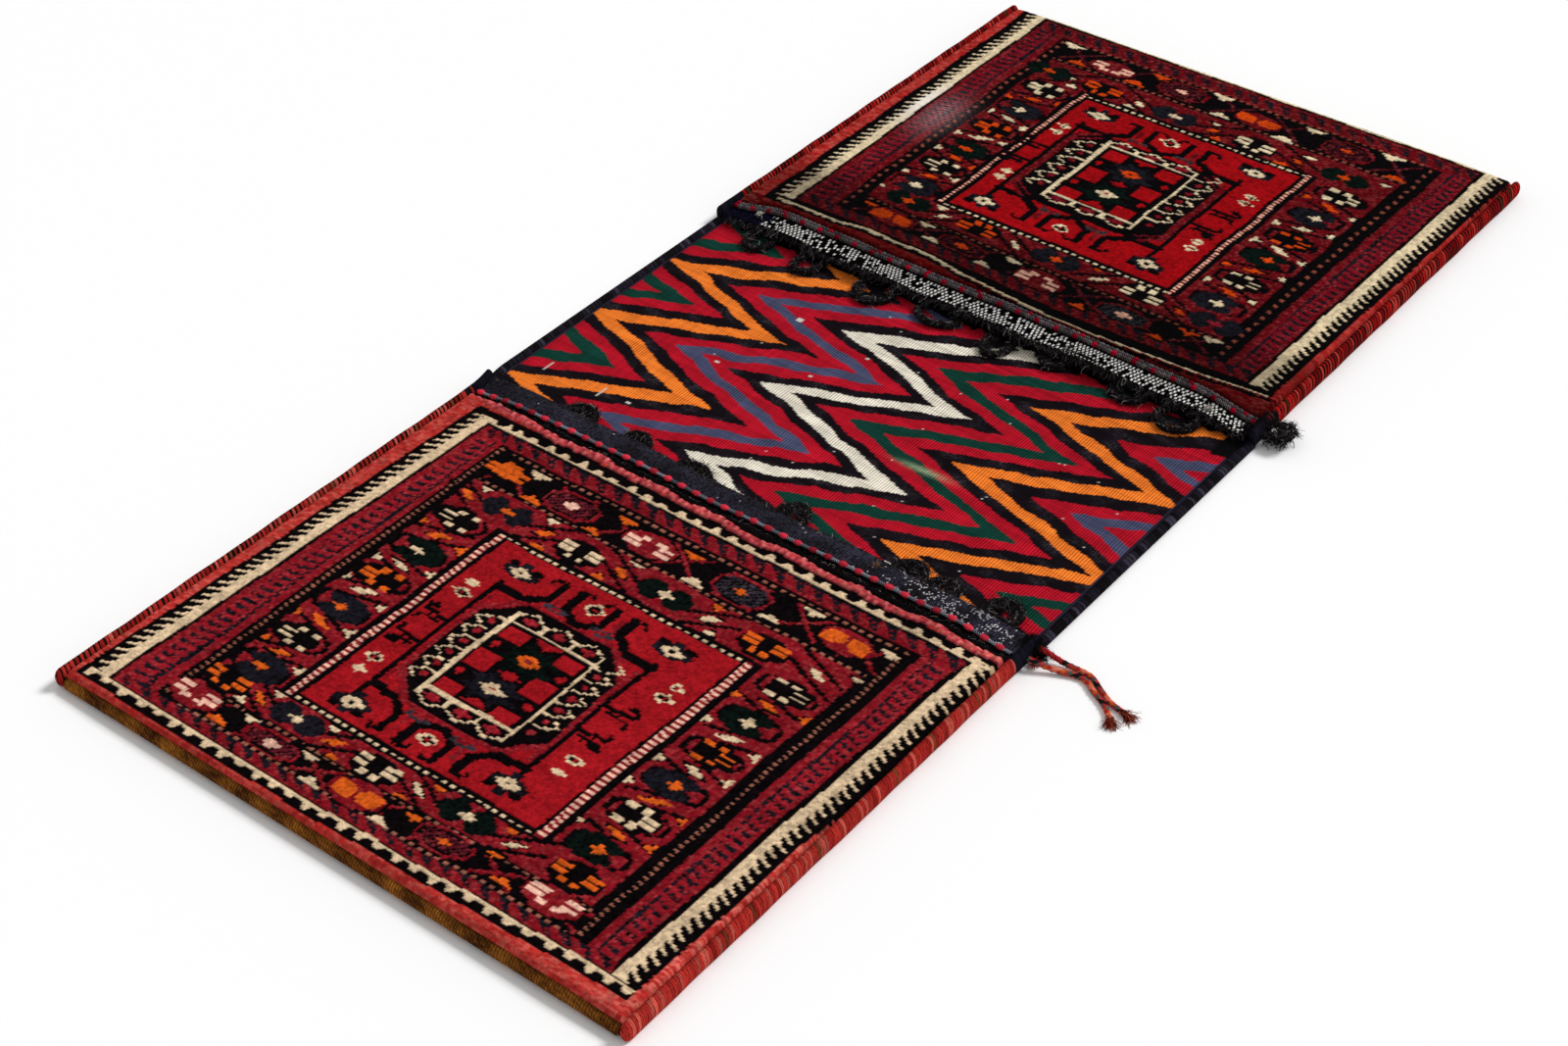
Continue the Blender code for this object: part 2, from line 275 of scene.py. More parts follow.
# %% Wool materials
def wool_material(name, fibre=0.3, batch=0.15, size=900.0, bump=0.5, reach=0.0008, ribs=None):
    """Its colour is the attribute "dye" of each point. ribs gives (warp, weft, depth), depth being how dark the
    painted groove shade is.
    """
    material = bpy.data.materials.new(name)
    material.use_nodes = True
    tree = material.node_tree
    shader = tree.nodes["Principled BSDF"]
    colour = add(tree, "ShaderNodeAttribute", {"attribute_name": "dye"}).outputs["Color"]
    tone = add(tree, "ShaderNodeGroup", {"node_tree": fibre_tone}, Color=colour, Fibre=fibre, Batch=batch, Size=size)
    out, height = tone.outputs["Color"], tone.outputs["Height"]
    if ribs:
        weave = add(tree, "ShaderNodeGroup", {"node_tree": rib_weave}, Warp=ribs[0], Weft=ribs[1], Depth=ribs[2])
        # The weave's painted groove shade darkens the colour
        out = add(tree, "ShaderNodeVectorMath", {"operation": "SCALE"}, n0=out, Scale=weave.outputs["GrooveShade"]).outputs[0]
        height = math_node(tree, "MULTIPLY_ADD", height, 0.35, weave.outputs["Height"])
    relief = add(tree, "ShaderNodeBump", Strength=bump, Distance=reach, Height=height)
    link(tree, out, shader.inputs["Base Color"])
    link(tree, tone.outputs["Roughness"], shader.inputs["Roughness"])
    link(tree, relief.outputs[0], shader.inputs["Normal"])
    shader.inputs["Specular IOR Level"].default_value = 0.02
    print("material", name)
    return material


pile_wool = wool_material("pile_wool", fibre=0.34, batch=0.16, size=760.0, bump=0.75, reach=0.0012)
flat_wool = wool_material(
    "flat_wool", fibre=0.22, batch=0.14, size=1300.0, bump=0.6, reach=0.0006, ribs=(0.0025, 0.0011, 0.72),
)
wound_wool = wool_material("wound_wool", fibre=0.36, batch=0.20, size=1100.0, bump=0.6, reach=0.0007)
goat_hair = wool_material("goat_hair", fibre=0.9, batch=0.25, size=1500.0, bump=0.8, reach=0.0009)
tie_wool = wool_material("tie_wool", fibre=0.3, batch=0.1, size=1400.0, bump=0.5, reach=0.0005)

# %% [markdown]
# Every soft surface starts as a flat grid made by one bmesh operator. Its points are then
# moved, all at once, to where they belong, and each point is given its dye. A tube is the
# same grid rolled up: its long sides are merged and its two ends filled.

# %% Grids, and grids rolled into tubes
def grid_mesh(name, columns, rows):
    """A mesh of columns by rows quads, with each point's place on it as u and v from 0 to 1."""
    bm = bmesh.new()
    bm.loops.layers.uv.new("weave")
    bmesh.ops.create_grid(bm, x_segments=columns, y_segments=rows, size=0.5, calc_uvs=True)
    mesh = bpy.data.meshes.new(name)
    bm.to_mesh(mesh)
    bm.free()
    flat = np.empty(len(mesh.vertices) * 3)
    mesh.vertices.foreach_get("co", flat)
    flat = flat.reshape(-1, 3)
    return mesh, flat[:, 0] + 0.5, flat[:, 1] + 0.5


def set_points(mesh, points, colours):
    """Moves the mesh's points to their places and gives each one its dye."""
    mesh.vertices.foreach_set("co", np.ascontiguousarray(points, dtype=np.float32).ravel())
    dyes = mesh.attributes.new("dye", "FLOAT_COLOR", "POINT")
    full = np.ones((len(points), 4), np.float32)
    full[:, :3] = colours
    dyes.data.foreach_set("color", full.ravel())
    mesh.update()


def finish_piece(name, mesh, material, slot, *nodes):
    """Puts the mesh in the scene as a piece on the root, in place of the nodes it replaces."""
    mesh.materials.append(material)
    mesh.polygons.foreach_set("use_smooth", [True] * len(mesh.polygons))
    piece = bpy.data.objects.new(name, mesh)
    bpy.context.scene.collection.objects.link(piece)
    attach(piece, "root")
    if nodes:
        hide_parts(*nodes)
    return piece


def close_up(mesh):
    """Merges the meeting sides of a rolled grid, fills what stays open and turns faces outwards."""
    bm = bmesh.new()
    bm.from_mesh(mesh)
    bmesh.ops.remove_doubles(bm, verts=bm.verts, dist=1e-6)
    open_edges = [edge for edge in bm.edges if edge.is_boundary]
    if open_edges:
        bmesh.ops.holes_fill(bm, edges=open_edges, sides=0)
    bmesh.ops.recalc_face_normals(bm, faces=bm.faces)
    bm.to_mesh(mesh)
    bm.free()


def along_route(route, v):
    """Points and two square directions on a route of points, for v from 0 to 1 by length."""
    route = np.array(route, float)
    gone = np.concatenate([[0], np.cumsum(np.linalg.norm(np.diff(route, axis=0), axis=1))])
    t = np.clip(v, 0, 1) * gone[-1]
    point = np.stack([np.interp(t, gone, route[:, i]) for i in range(3)], axis=1)
    heading = np.gradient(route, gone, axis=0)
    ahead = np.stack([np.interp(t, gone, heading[:, i]) for i in range(3)], axis=1)
    ahead /= np.linalg.norm(ahead, axis=1, keepdims=True)
    side = np.cross(ahead, [0.0, 0.0, 1.0])
    side /= np.linalg.norm(side, axis=1, keepdims=True)
    return point, side, np.cross(side, ahead), gone[-1]


def rolled_tube(name, route, around, along, shape, paint):
    """A closed tube on a route: shape(angle, metres) gives its half-sizes, and paint its dye."""
    mesh, u, v = grid_mesh(name, around, along)
    point, side, over, length = along_route(route, v)
    angle = math.tau * np.where(u > 0.9999, 0.0, u)
    wide, high = shape(angle, v * length)
    points = point + side * (wide * np.cos(angle))[:, None] + over * (high * np.sin(angle))[:, None]
    points[:, 2] = np.maximum(points[:, 2], 0.0)
    set_points(mesh, points, paint(angle, v * length))
    close_up(mesh)
    return mesh


# %% [markdown]
# The cords come first, because their places are tied to the part. Dark goat-hair loops lie
# on the bridge in front of both mouths. On the real bag each one is pulled through the
# next to lace a pouch shut. They are plied, so each tube has three lobes that wind along
# it. A limp cord keeps its length, so every route is one smooth curve through a few places.

# %% Routes of the cords
LOOP_CORD, LOOP_TUCK, LOOP_STAND_OFF = 0.0060, 0.0060, 0.0015
NEAR_LOOPS = [
    (-0.177, 0.0130, 0.029), (-0.118, 0.0115, 0.028), (-0.056, 0.0150, 0.024), (0.040, 0.0120, 0.033),
    (0.153, 0.0130, 0.032), (0.185, 0.0120, 0.030), (0.236, 0.0140, 0.030),
]
FAR_LOOPS = [
    (-0.222, 0.0115, 0.036), (-0.165, 0.0115, 0.038), (-0.093, 0.0170, 0.040), (-0.028, 0.0200, 0.032),
    (0.037, 0.0120, 0.040), (0.088, 0.0115, 0.023), (0.161, 0.0145, 0.026), (0.212, 0.0170, 0.037),
]
CORNER_REACH, CORNER_WIDTH = 0.020, 0.0125
CORNER_X = WIDTH / 2 + CLEAR


def smooth_route(guides, count=22):
    """Points evenly spread along a smooth curve through the guides."""
    guides = [Vector(g) for g in guides]
    guides = [2 * guides[0] - guides[1], *guides, 2 * guides[-1] - guides[-2]]
    fine = []
    for a, b, c, d in zip(guides, guides[1:], guides[2:], guides[3:]):
        for t in np.arange(24) / 24:
            square, cube = 2 * a - 5 * b + 4 * c - d, 3 * b - a - 3 * c + d
            fine.append(0.5 * (2 * b + (c - a) * t + square * t**2 + cube * t**3))
    fine = np.array([*fine, guides[-2]])
    gone = np.concatenate([[0], np.cumsum(np.linalg.norm(np.diff(fine, axis=0), axis=1))])
    at = np.linspace(0, gone[-1], count)
    return [Vector([np.interp(u, gone, fine[:, k]) for k in range(3)]) for u in at]


def plain_height(pouch, x):
    """The underside of the mouth edge as the part has it, with no swell."""
    stand = (pouch["lift"] - pouch["droop"]) * float(inward(x))
    return 2 * float(fold_radius(x)) + stand


def loop_route(pouch, centre, half, reach):
    """A loop on the bridge whose roots go under the mouth where the gap there is high enough."""
    z = WEB + CLEAR + LOOP_CORD / 2
    fits = plain_height(pouch, abs(centre) + half) - WEB >= LOOP_CORD + CLEAR
    outward = -pouch["side"]
    base = -outward * (LENGTH / 2 - pouch["depth"] + (LOOP_TUCK if fits else -LOOP_STAND_OFF))
    shape = ((-0.75, 0), (-0.95, 0.35), (-0.90, 0.72), (0, 1), (0.90, 0.72), (0.95, 0.35), (0.75, 0))
    return smooth_route([(centre + a * half, base + outward * b * (reach - LOOP_CORD / 2), z) for a, b in shape])


def corner_route():
    """The loop that lies beside the far mouth's right end, in steps of its reach and its width."""
    shape = ((0, -0.75, 0.0080), (0.20, -0.78, 0.0083), (0.72, -0.80, 0.0102), (1, 0, 0.0110),
             (0.72, 0.80, 0.0102), (0.20, 0.78, 0.0083), (0, 0.75, 0.0080))
    return smooth_route([
        (CORNER_X + CLEAR + out * CORNER_REACH, FAR_MOUTH + 0.019 + along * CORNER_WIDTH, z) for out, along, z in shape
    ])


TIE_CORD, TIE_START, TIE_APART, TIE_MERGE = 0.0045, 0.003, 0.015, 0.041
TIE_RUN, TIE_TURN, TIE_SPREAD = 0.046, math.radians(-28), 2.7


def tie_route(side, start_y):
    """One strand: out of the seam, beside its twin, then apart again at the tip."""
    rest, beside = TIE_CORD / 2, (TIE_CORD + CLEAR) / 2
    ahead = Vector((math.cos(TIE_TURN), math.sin(TIE_TURN), 0))
    apart = side * beside * Vector((-ahead.y, ahead.x, 0))
    meet = Vector((CORNER_X + TIE_MERGE, NEAR_MOUTH - TIE_START, rest))
    start = Vector((CORNER_X, NEAR_MOUTH - start_y, SEAM_HEIGHT / 2))
    middle = start.lerp(meet + 1.3 * apart, 0.5)
    middle.z = rest + 0.0015
    return smooth_route([
        start, start + Vector((TIE_CORD, 0, 0)), middle, meet + 1.3 * apart,
        meet + ahead * TIE_RUN * 0.35 + 1.1 * apart, meet + ahead * TIE_RUN * 0.7 + 1.15 * apart,
        meet + ahead * TIE_RUN + TIE_SPREAD * apart,
    ])


def route_length(route):
    return sum((b - a).length for a, b in zip(route, route[1:]))


# %% Goat-hair loops
HAIR_DARK, HAIR_GREY, HAIR_LIGHT = np.array([dye(22, 18, 20), dye(58, 54, 56), dye(120, 114, 112)])
LOOP_PLIES, LOOP_PITCH = 3, 0.013


def plied(diameter, plies, pitch, seed):
    """A shape for rolled_tube: plies wound round each other, a little uneven."""
    def shape(angle, gone):
        wind = angle + math.tau * gone / pitch
        uneven = 0.06 * np.sin(gone * 900 + 3 * np.sin(angle) + seed)
        size = diameter / 2 * (0.84 + 0.20 * np.abs(np.cos(plies * wind / 2)) + uneven)
        return size, size
    return shape


def hair_paint(seed):
    """Dark hair with grey and light streaks, with painted shade that makes it darkest between the plies."""
    def paint(angle, gone):
        wind = LOOP_PLIES * (angle + math.tau * gone / LOOP_PITCH) / 2
        # Painted shade between the plies
        groove_shade = np.abs(np.cos(wind))[:, None]
        streak = np.clip(ripple(gone * 1000, angle * 3 + gone * 900, 3.0, seed), -1, 1)[:, None]
        grey = np.clip(streak - 0.25, 0, 1)
        light = np.clip(streak - 0.75, 0, 1) * 1.6
        colour = HAIR_DARK * (1 - grey) + HAIR_GREY * grey + HAIR_LIGHT * light
        return colour * (0.35 + 0.65 * groove_shade)
    return paint


def lay_cord(name, suffix, route, material, slot, around, step, shape, paint):
    """A tube on the route in place of the part's cord of that name."""
    length = route_length(route)
    mesh = rolled_tube(name, route, around, round(length / step), shape, paint)
    piece = finish_piece(name + suffix, mesh, material, slot, name)


loop_routes = {f"near_loop_{i}": loop_route(NEAR, *size) for i, size in enumerate(NEAR_LOOPS, 1)}
loop_routes.update({f"far_loop_{i}": loop_route(FAR, *size) for i, size in enumerate(FAR_LOOPS, 1)})
loop_routes["far_loop_9"] = corner_route()
for seed, (name, route) in enumerate(loop_routes.items()):
    shape = plied(LOOP_CORD, LOOP_PLIES, LOOP_PITCH, seed)
    lay_cord(name, "_cord", route, goat_hair, "goat_hair", 20, 0.0010, shape, hair_paint(seed))
print("loops", len(loop_routes), "longest", round(max(map(route_length, loop_routes.values())), 3))

# %% [markdown]
# A braided tie hangs from the right corner of the near mouth. Two strands of red, pink,
# orange, green and black wool leave the corner apart, come together and end in frayed
# tips. The braid is a tube whose lobes cross, with each lobe in the wool that lies on top.

# %% Braided tie
TIE_WOOLS = np.array([
    dye(168, 40, 44), dye(214, 112, 92), dye(196, 92, 40), dye(70, 84, 74), dye(30, 22, 24), dye(178, 46, 50),
])
BRAID_PITCH = 0.011


def braided(angle, gone):
    """A shape for rolled_tube: lobes that wind both ways and cross."""
    turn = math.tau * gone / BRAID_PITCH
    wave = np.abs(np.cos(1.5 * angle + turn)) * np.abs(np.cos(1.5 * angle - turn))
    size = TIE_CORD / 2 * (0.82 + 0.30 * wave)
    return size, size


def braid_paint(first, plain):
    """The first stretch, plain metres long, is plain red, and then the wools take turns."""
    def paint(angle, gone):
        turn = np.floor(3 * angle / math.tau + gone / (BRAID_PITCH / 2)).astype(int)
        other = np.floor(3 * angle / math.tau - gone / (BRAID_PITCH / 2)).astype(int)
        pick = np.where((turn + other) % 2 == 0, turn, other + 2) + first
        red = TIE_WOOLS[0] * (0.8 + 0.3 * np.cos(3 * angle + gone * 900))[:, None]
        return np.where((gone < plain)[:, None], red, TIE_WOOLS[pick % len(TIE_WOOLS)])
    return paint


tie_routes = {}
for name, side, start_y, first, plain in (
    ("tie_upper", 1, TIE_START, 0, 0.020), ("tie_lower", -1, TIE_START + TIE_APART, 3, 0.0),
):
    route = tie_routes[name] = tie_route(side, start_y)
    paint = braid_paint(first, plain)
    lay_cord(name, "_braid", route, tie_wool, "tie_wool", 18, 0.0009, braided, paint)
    print(name, "length", round(route_length(route), 3))

# %% [markdown]
# The pile is a picture made of knots, row by row, and its design is traditional: a field
# with a stepped medallion, a border of flowers and leaves, and guards of ropes, hooks and
# teeth. A cartoon holds the wool of every point. Its points are first pulled to the middle
# of their knot, so that slanting lines come out in steps, as they do on the loom. Design
# places are millimetres on a plan 9.5 mm above the floor, as seen from the camera's place.

# %% The cartoon
WOOLS = list(NEAR_WOOL)
PLAN_HEIGHT = 0.0095
PLAN_CORNER = (0.275, 0.625)


def plan(points):
    """The place in the measured design, in millimetres from the near left corner, of each point."""
    eye = np.array(EYE)
    stretch = (eye[2] - PLAN_HEIGHT) / (eye[2] - points[:, 2])
    flat = eye[:2] + (points[:, :2] - eye[:2]) * stretch[:, None]
    return (flat[:, 0] + PLAN_CORNER[0]) * 1000, (flat[:, 1] + PLAN_CORNER[1]) * 1000


class Cartoon:
    """The wool of every point of a pouch's pile, painted shape over shape."""

    def __init__(self, x, y, first, seed, knot=(2.3, 2.0)):
        self.across = x + 0.9 * ripple(x, y, 90, seed)
        self.up = y + 0.8 * ripple(x, y, 70, seed + 1)
        self.row = np.floor(self.up / knot[1]).astype(int)
        jitter = np.random.default_rng(seed).uniform(-0.45, 0.45, 1000)[self.row % 1000]
        self.column = np.floor((self.across + jitter) / knot[0]).astype(int)
        self.x, self.y = (self.column + 0.5) * knot[0], (self.row + 0.5) * knot[1]
        self.wool = np.full(x.shape, WOOLS.index(first))

    def lay(self, mask, wool):
        self.wool[mask] = WOOLS.index(wool)

    def block(self, x0, x1, y0, y1, wool):
        self.lay((self.x > x0) & (self.x < x1) & (self.y > y0) & (self.y < y1), wool)

    def box(self, x, y, w, h, wool):
        """A block w by h around its middle."""
        self.block(x - w / 2, x + w / 2, y - h / 2, y + h / 2, wool)

    def lozenge(self, x, y, w, h, wool, slope=0.0):
        dx = self.x - x
        self.lay(np.abs(dx) / (w / 2) + np.abs(self.y - y - slope * dx) / (h / 2) < 1, wool)

    def octagon(self, x, y, w, h, wool, cut=1.35):
        dx, dy = np.abs(self.x - x) / (w / 2), np.abs(self.y - y) / (h / 2)
        self.lay((dx < 1) & (dy < 1) & (dx + dy < cut), wool)

    def wedge(self, x, y, w, h, wool, to=(0, 1)):
        """A triangle on a base w wide, h tall, its point turned along to."""
        away = (self.x - x) * to[0] + (self.y - y) * to[1]
        beside = np.abs((self.x - x) * to[1] - (self.y - y) * to[0])
        self.lay((away > -h / 2) & (away < h / 2) & (beside < w / 2 * (0.5 - away / h)), wool)

    def stroke(self, points, width, wool):
        for (ax, ay), (bx, by) in zip(points, points[1:]):
            dx, dy = bx - ax, by - ay
            t = np.clip(((self.x - ax) * dx + (self.y - ay) * dy) / (dx * dx + dy * dy), 0, 1)
            self.lay(np.hypot(self.x - ax - t * dx, self.y - ay - t * dy) < width / 2, wool)


# %% [markdown]
# The border's motifs repeat, so each is a small function: a flower with petals on three
# sides, a dark flower with a light cross, a slanting leaf and a triangle. In the columns
# the same flowers lie on their side, with the long petals turned to the outer edge.

# %% Motifs of the border
ROW_PETALS = [(13.0, 4.8, 13, 3.8), (13.0, -1.6, 13, 3.8), (5.6, -7.8, 6.4, 5.6)]
COLUMN_PETALS = [(-11.5, 3.3, 13, 3.3), (-3.0, 8.1, 7.2, 5.4), (9.6, 8.1, 8.2, 5.6)]


BUTTERFLY_WINGS = [(14, 4.8, 14, 3.4), (14.5, -0.6, 13, 3.4), (7, -5.4, 9, 5.2)]
BOTH = (-1, 1)


def cross(c, x, y, wool, bars):
    for w, h in bars:
        c.box(x, y, w, h, wool)


def flower(c, x, y, petals, side=0, flip=1):
    """side is 0 in a row, -1 in the left column and 1 in the right one."""
    if side == 0:
        c.octagon(x, y - 2 * flip, 44, 27, "black")
        for px, py, w, h in ROW_PETALS:
            for m in BOTH:
                c.box(x + m * px, y + flip * py, w, h, petals)
    else:
        c.octagon(x + 2 * side, y, 38, 27, "black")
        for px, py, w, h in COLUMN_PETALS:
            for m in BOTH:
                c.box(x - side * px, y + m * py, w, h, petals)


def dark_flower(c, x, y, wool, heart, side=0):
    """Two dark lobes that nearly touch, with a small cross where they meet."""
    if side == 0:
        for m in BOTH:
            c.octagon(x + m * 11.5, y, 26, 23, wool, cut=1.30)
        c.wedge(x, y - 9, 9, 7, "ground", (0, 1))
    else:
        for m in BOTH:
            c.octagon(x - 3 * side, y + m * 6.2, 37, 15.5, wool, cut=1.40)
        c.octagon(x - 11 * side, y, 24, 20, wool)
        c.wedge(x + side * 13, y, 10, 8, "ground", (-side, 0))
    cross(c, x, y, heart, [(14, 2.4), (7.2, 4.4), (3.2, 9.2)])


def leaf(c, x, y, wool, slope, length=23):
    """A slanting leaf between two dark lines."""
    for m in BOTH:
        ends = [(x + n * 24, y + n * slope * 24 + m * 7.6) for n in BOTH]
        c.stroke(ends, 3.4, "black")
    c.lozenge(x, y, length + 5, 10, "black", slope)
    c.lozenge(x, y, length, 7.0, wool, slope)


def leaves(c, y, length, marks):
    for x, wool, slope in marks:
        leaf(c, x, y, wool, slope, length)


def brackets(c, x, y, w, h):
    """The dark brackets at the two sides of a flower in a column."""
    for m in BOTH:
        c.box(x + m * w, y, 4.4, 2 * h, "black")
        for n in BOTH:
            c.stroke([(x + m * w, y + n * h), (x + m * (w - 8), y + n * (h + 4.5))], 2.8, "black")


def column(c, x, side, places, hearts):
    """One upright border: a flower, a leaf, a dark flower and a leaf by turns, from the top."""
    for k, wool in enumerate(("orange", "ivory", "ivory", "orange", "orange")):
        leaf(c, x, places[2 * k + 1], wool, side * (0.3 if k % 2 else -0.3))
    for k, wool in enumerate(("ivory", "orange", "ivory")):
        brackets(c, x, places[4 * k], 24, 5)
        flower(c, x, places[4 * k], wool, side)
        brackets(c, x, places[4 * k + 2], 24.5, 6)
        dark_flower(c, x, places[4 * k + 2], *hearts[k], side)


def wedges(c, size, marks):
    """Small triangles at the (x, y) of each list, named by their wool and way: u, d, l or r."""
    ways = dict(u=(0, 1), d=(0, -1), l=(-1, 0), r=(1, 0))
    for name, places in marks.items():
        wool, way = name.split()
        w, h = size if way in "lr" else (size[0] * 2.0, size[1] * 0.95)
        for x, y in places:
            c.wedge(x, y, w + 4, h + 3, "black", ways[way])
            c.wedge(x, y, w, h, wool, ways[way])


def butterfly(c, x, y, wool, flip=1, solid=False):
    c.octagon(x, y, 52, 30, "black")
    c.octagon(x, y, 48, 26, "ground")
    for m in BOTH:
        for px, py, w, h in BUTTERFLY_WINGS:
            c.box(x + m * px, y + flip * py, w, h, wool)
        if solid:
            c.octagon(x + m * 11, y, 20, 14, wool)
    c.box(x, y, 2.8, 18, "ground")


def hexagon_bud(c, x, y, heart, wool="purple", h=25):
    """A flat hexagon filled with specks, and a small cross on it."""
    w = 52
    c.octagon(x, y, w, h, "ground", cut=1.42)
    c.octagon(x, y, w - 6, h - 5, "black", cut=1.42)
    dx, dy = np.abs(c.x - x), np.abs(c.y - y)
    inside = (dx < w / 2 - 5) & (dx / (w / 2) + dy / (h / 2) < 1.28) & (dy < h / 2 - 4)
    speck = (c.row * 7 + c.column * 3) % 5 < 3
    c.lay(inside & speck, wool)
    cross(c, x, y, heart, [(14, 3.6), (6, 7.6)])


def small_eye(c, x, y, w, h):
    c.lozenge(x, y, w + 2, h + 1.5, "ivory")
    c.lozenge(x, y, w - 4.5, h - 3, "black")
    c.box(x, y, 3, 2.6, "red")
    if w < 13:
        c.box(x, y, w, 2, "ivory")


def vines(c, x, rows, wool):
    """Crossed strokes between the motifs of the two extra rows."""
    for y0, y1 in rows:
        middle, reach = (y0 + y1) / 2, (y1 - y0) * 0.42
        for x0 in range(x, x + 7 * 57, 57):
            for m in BOTH:
                c.stroke([(x0, middle - m * reach), (x0 + 34, middle + m * reach)], 3.0, wool)


# %% [markdown]
# Guards frame the design. The rope is a line of small light dots in black, the candy guard
# has stripes of red and ivory, the hook band has slate ticks on red, and the widest is a
# plain ivory band whose outer side is cut into slanting teeth.

# %% Guards
def rope(c, x, y0, y1, step):
    on = (np.mod(c.up + 0.3 * c.across, step) < step * 0.37) & (np.abs(c.across - x) < 3.9 / 2)
    c.lay(on & (c.y > y0) & (c.y < y1), "rope")


def dashes(c, places, x0, x1, step=8.0, long=4.2, wool="ivory", tall=2.2):
    for y in places:
        on = (np.mod(c.across, step) < long) & (np.abs(c.up - y) < tall / 2)
        c.lay(on & (c.x > x0) & (c.x < x1), wool)


def candy(c, x0, x1, y0, y1, step):
    inside = (c.across > x0) & (c.across < x1) & (c.y > y0) & (c.y < y1)
    c.lay(inside, "ground")
    c.lay(inside & (np.mod(c.up + 0.12 * c.across, step) < step * 0.48), "pink")


def tooth_band(c, x0, x1, side, y0, y1):
    """A plain band from x0 to x1 with hooked teeth on one side, on black."""
    reach, step = 9.5, 8.8
    edge = x0 if side < 0 else x1
    out = (c.across - edge) * side
    inside = (c.y > y0) & (c.y < y1)
    c.lay(inside & (c.across > x0) & (c.across < x1), "ivory")
    place = np.mod((c.up + 0.45 * out) / step, 1) * step
    uneven = 0.85 + 0.3 * np.mod(np.floor((c.up + 0.45 * out) / step) * 0.618, 1)
    bar = (place < np.where(out < 3.2, 4.6, 2.4)) & (out >= 0) & (out < reach * uneven)
    c.lay(inside & bar, "ivory")


def tooth_line(c, y, way, x0, x1):
    """A thin line with stepped triangles on it that point up or down."""
    step, tall = 17.0, 8.0
    out = (c.up - y) * way
    place = c.across / step
    uneven = np.mod(np.floor(place) * 0.618, 1)
    wave = np.abs(np.mod(place, 1) - 0.42 - 0.16 * uneven) * step
    inside = (c.x > x0) & (c.x < x1)
    c.lay(inside & (out > -1.0) & (out < 1.4), "ivory")
    tooth = (out >= 0) & (out < tall * (0.55 + 0.45 * uneven)) & (wave < 5.6 - 4.2 * out / tall)
    c.lay(inside & tooth, "ivory")


def hook_column(c, x0, x1, y0, y1, side):
    """Red with slate ticks by its outer side and a slate line by its inner one."""
    step = 8.6
    inside = (c.x > x0) & (c.x < x1) & (c.y > y0) & (c.y < y1)
    c.lay(inside, "magenta")
    out = (c.across - x0) / (x1 - x0) if side < 0 else (x1 - c.across) / (x1 - x0)
    c.lay(inside & (out < 0.16), "ground")
    beat = np.mod((c.up + 3 * np.sin(out * 5)) / step, 1)
    c.lay(inside & (out > 0.16) & (out < 0.56) & (beat < 0.50), "slate")
    c.lay(inside & (out > 0.56) & (out < 0.68) & (beat < 0.26), "slate")
    c.lay(inside & (out > 0.68) & (out < 0.82), "slate")
    c.lay(inside & (out > 0.84), "ground")
    lost = np.mod(c.row * 0.755 + c.column * 0.57 + 0.3 * np.sin(c.row * 3.1), 1) < 0.24
    c.lay(inside & lost, "magenta")


def hook_row(c, x0, x1, y0, y1):
    step = 17.5
    inside = (c.x > x0) & (c.x < x1) & (c.y > y0) & (c.y < y1)
    c.lay(inside, "ground")
    high = (c.up - y0) / (y1 - y0)
    beat = np.mod((c.across + 12 * high) / step, 1)
    lost = np.mod(c.row * 0.755 + c.column * 0.57, 1) < 0.2
    c.lay(inside & (np.abs(beat - 0.4) < 0.12 + 0.22 * high) & (high > 0.1) & ~lost, "slate")
    c.lay(inside & (high > 0.84) & lost, "slate")


def frame_bands(c, black, red, hooks, high, rows, inside, ropes, along, step):
    """The hook guards at all four sides, then black with a rope at each side."""
    c.block(*black, "black")
    c.block(*red, "ground")
    for side, (x0, x1) in zip(BOTH, hooks):
        hook_column(c, x0, x1, *high, side)
    for row in rows:
        hook_row(c, *row)
    c.block(*inside, "black")
    for x in ropes:
        rope(c, x, *along, step)


def border_ground(c, x0, x1, x2, x3, y0, y1, y2, y3):
    """The red ring of the border, from its outer limits x0, x3, y0, y3 to its inner ones."""
    for sides in ((x0, x3, y0, y1), (x0, x3, y2, y3), (x0, x1, y0, y3), (x2, x3, y0, y3)):
        c.block(*sides, "ground")


def field_frame(c, black, candies, y0, y1, step, lines, x0, x1, red):
    """Black round the field, a candy guard at each side, dashes over and under, and the field."""
    c.block(*black, "black")
    for inner, outer in candies:
        candy(c, inner, outer, y0, y1, step)
    dashes(c, lines, x0, x1)
    c.block(*red, "red")


# %% [markdown]
# The field is red, with a black stepped medallion that holds two stars. Pale bars close
# it at both sides, small arches stand over and under it, and combs reach out from the
# bars. Thick hooked arms rise from its frame, and small flowers fill the corners.

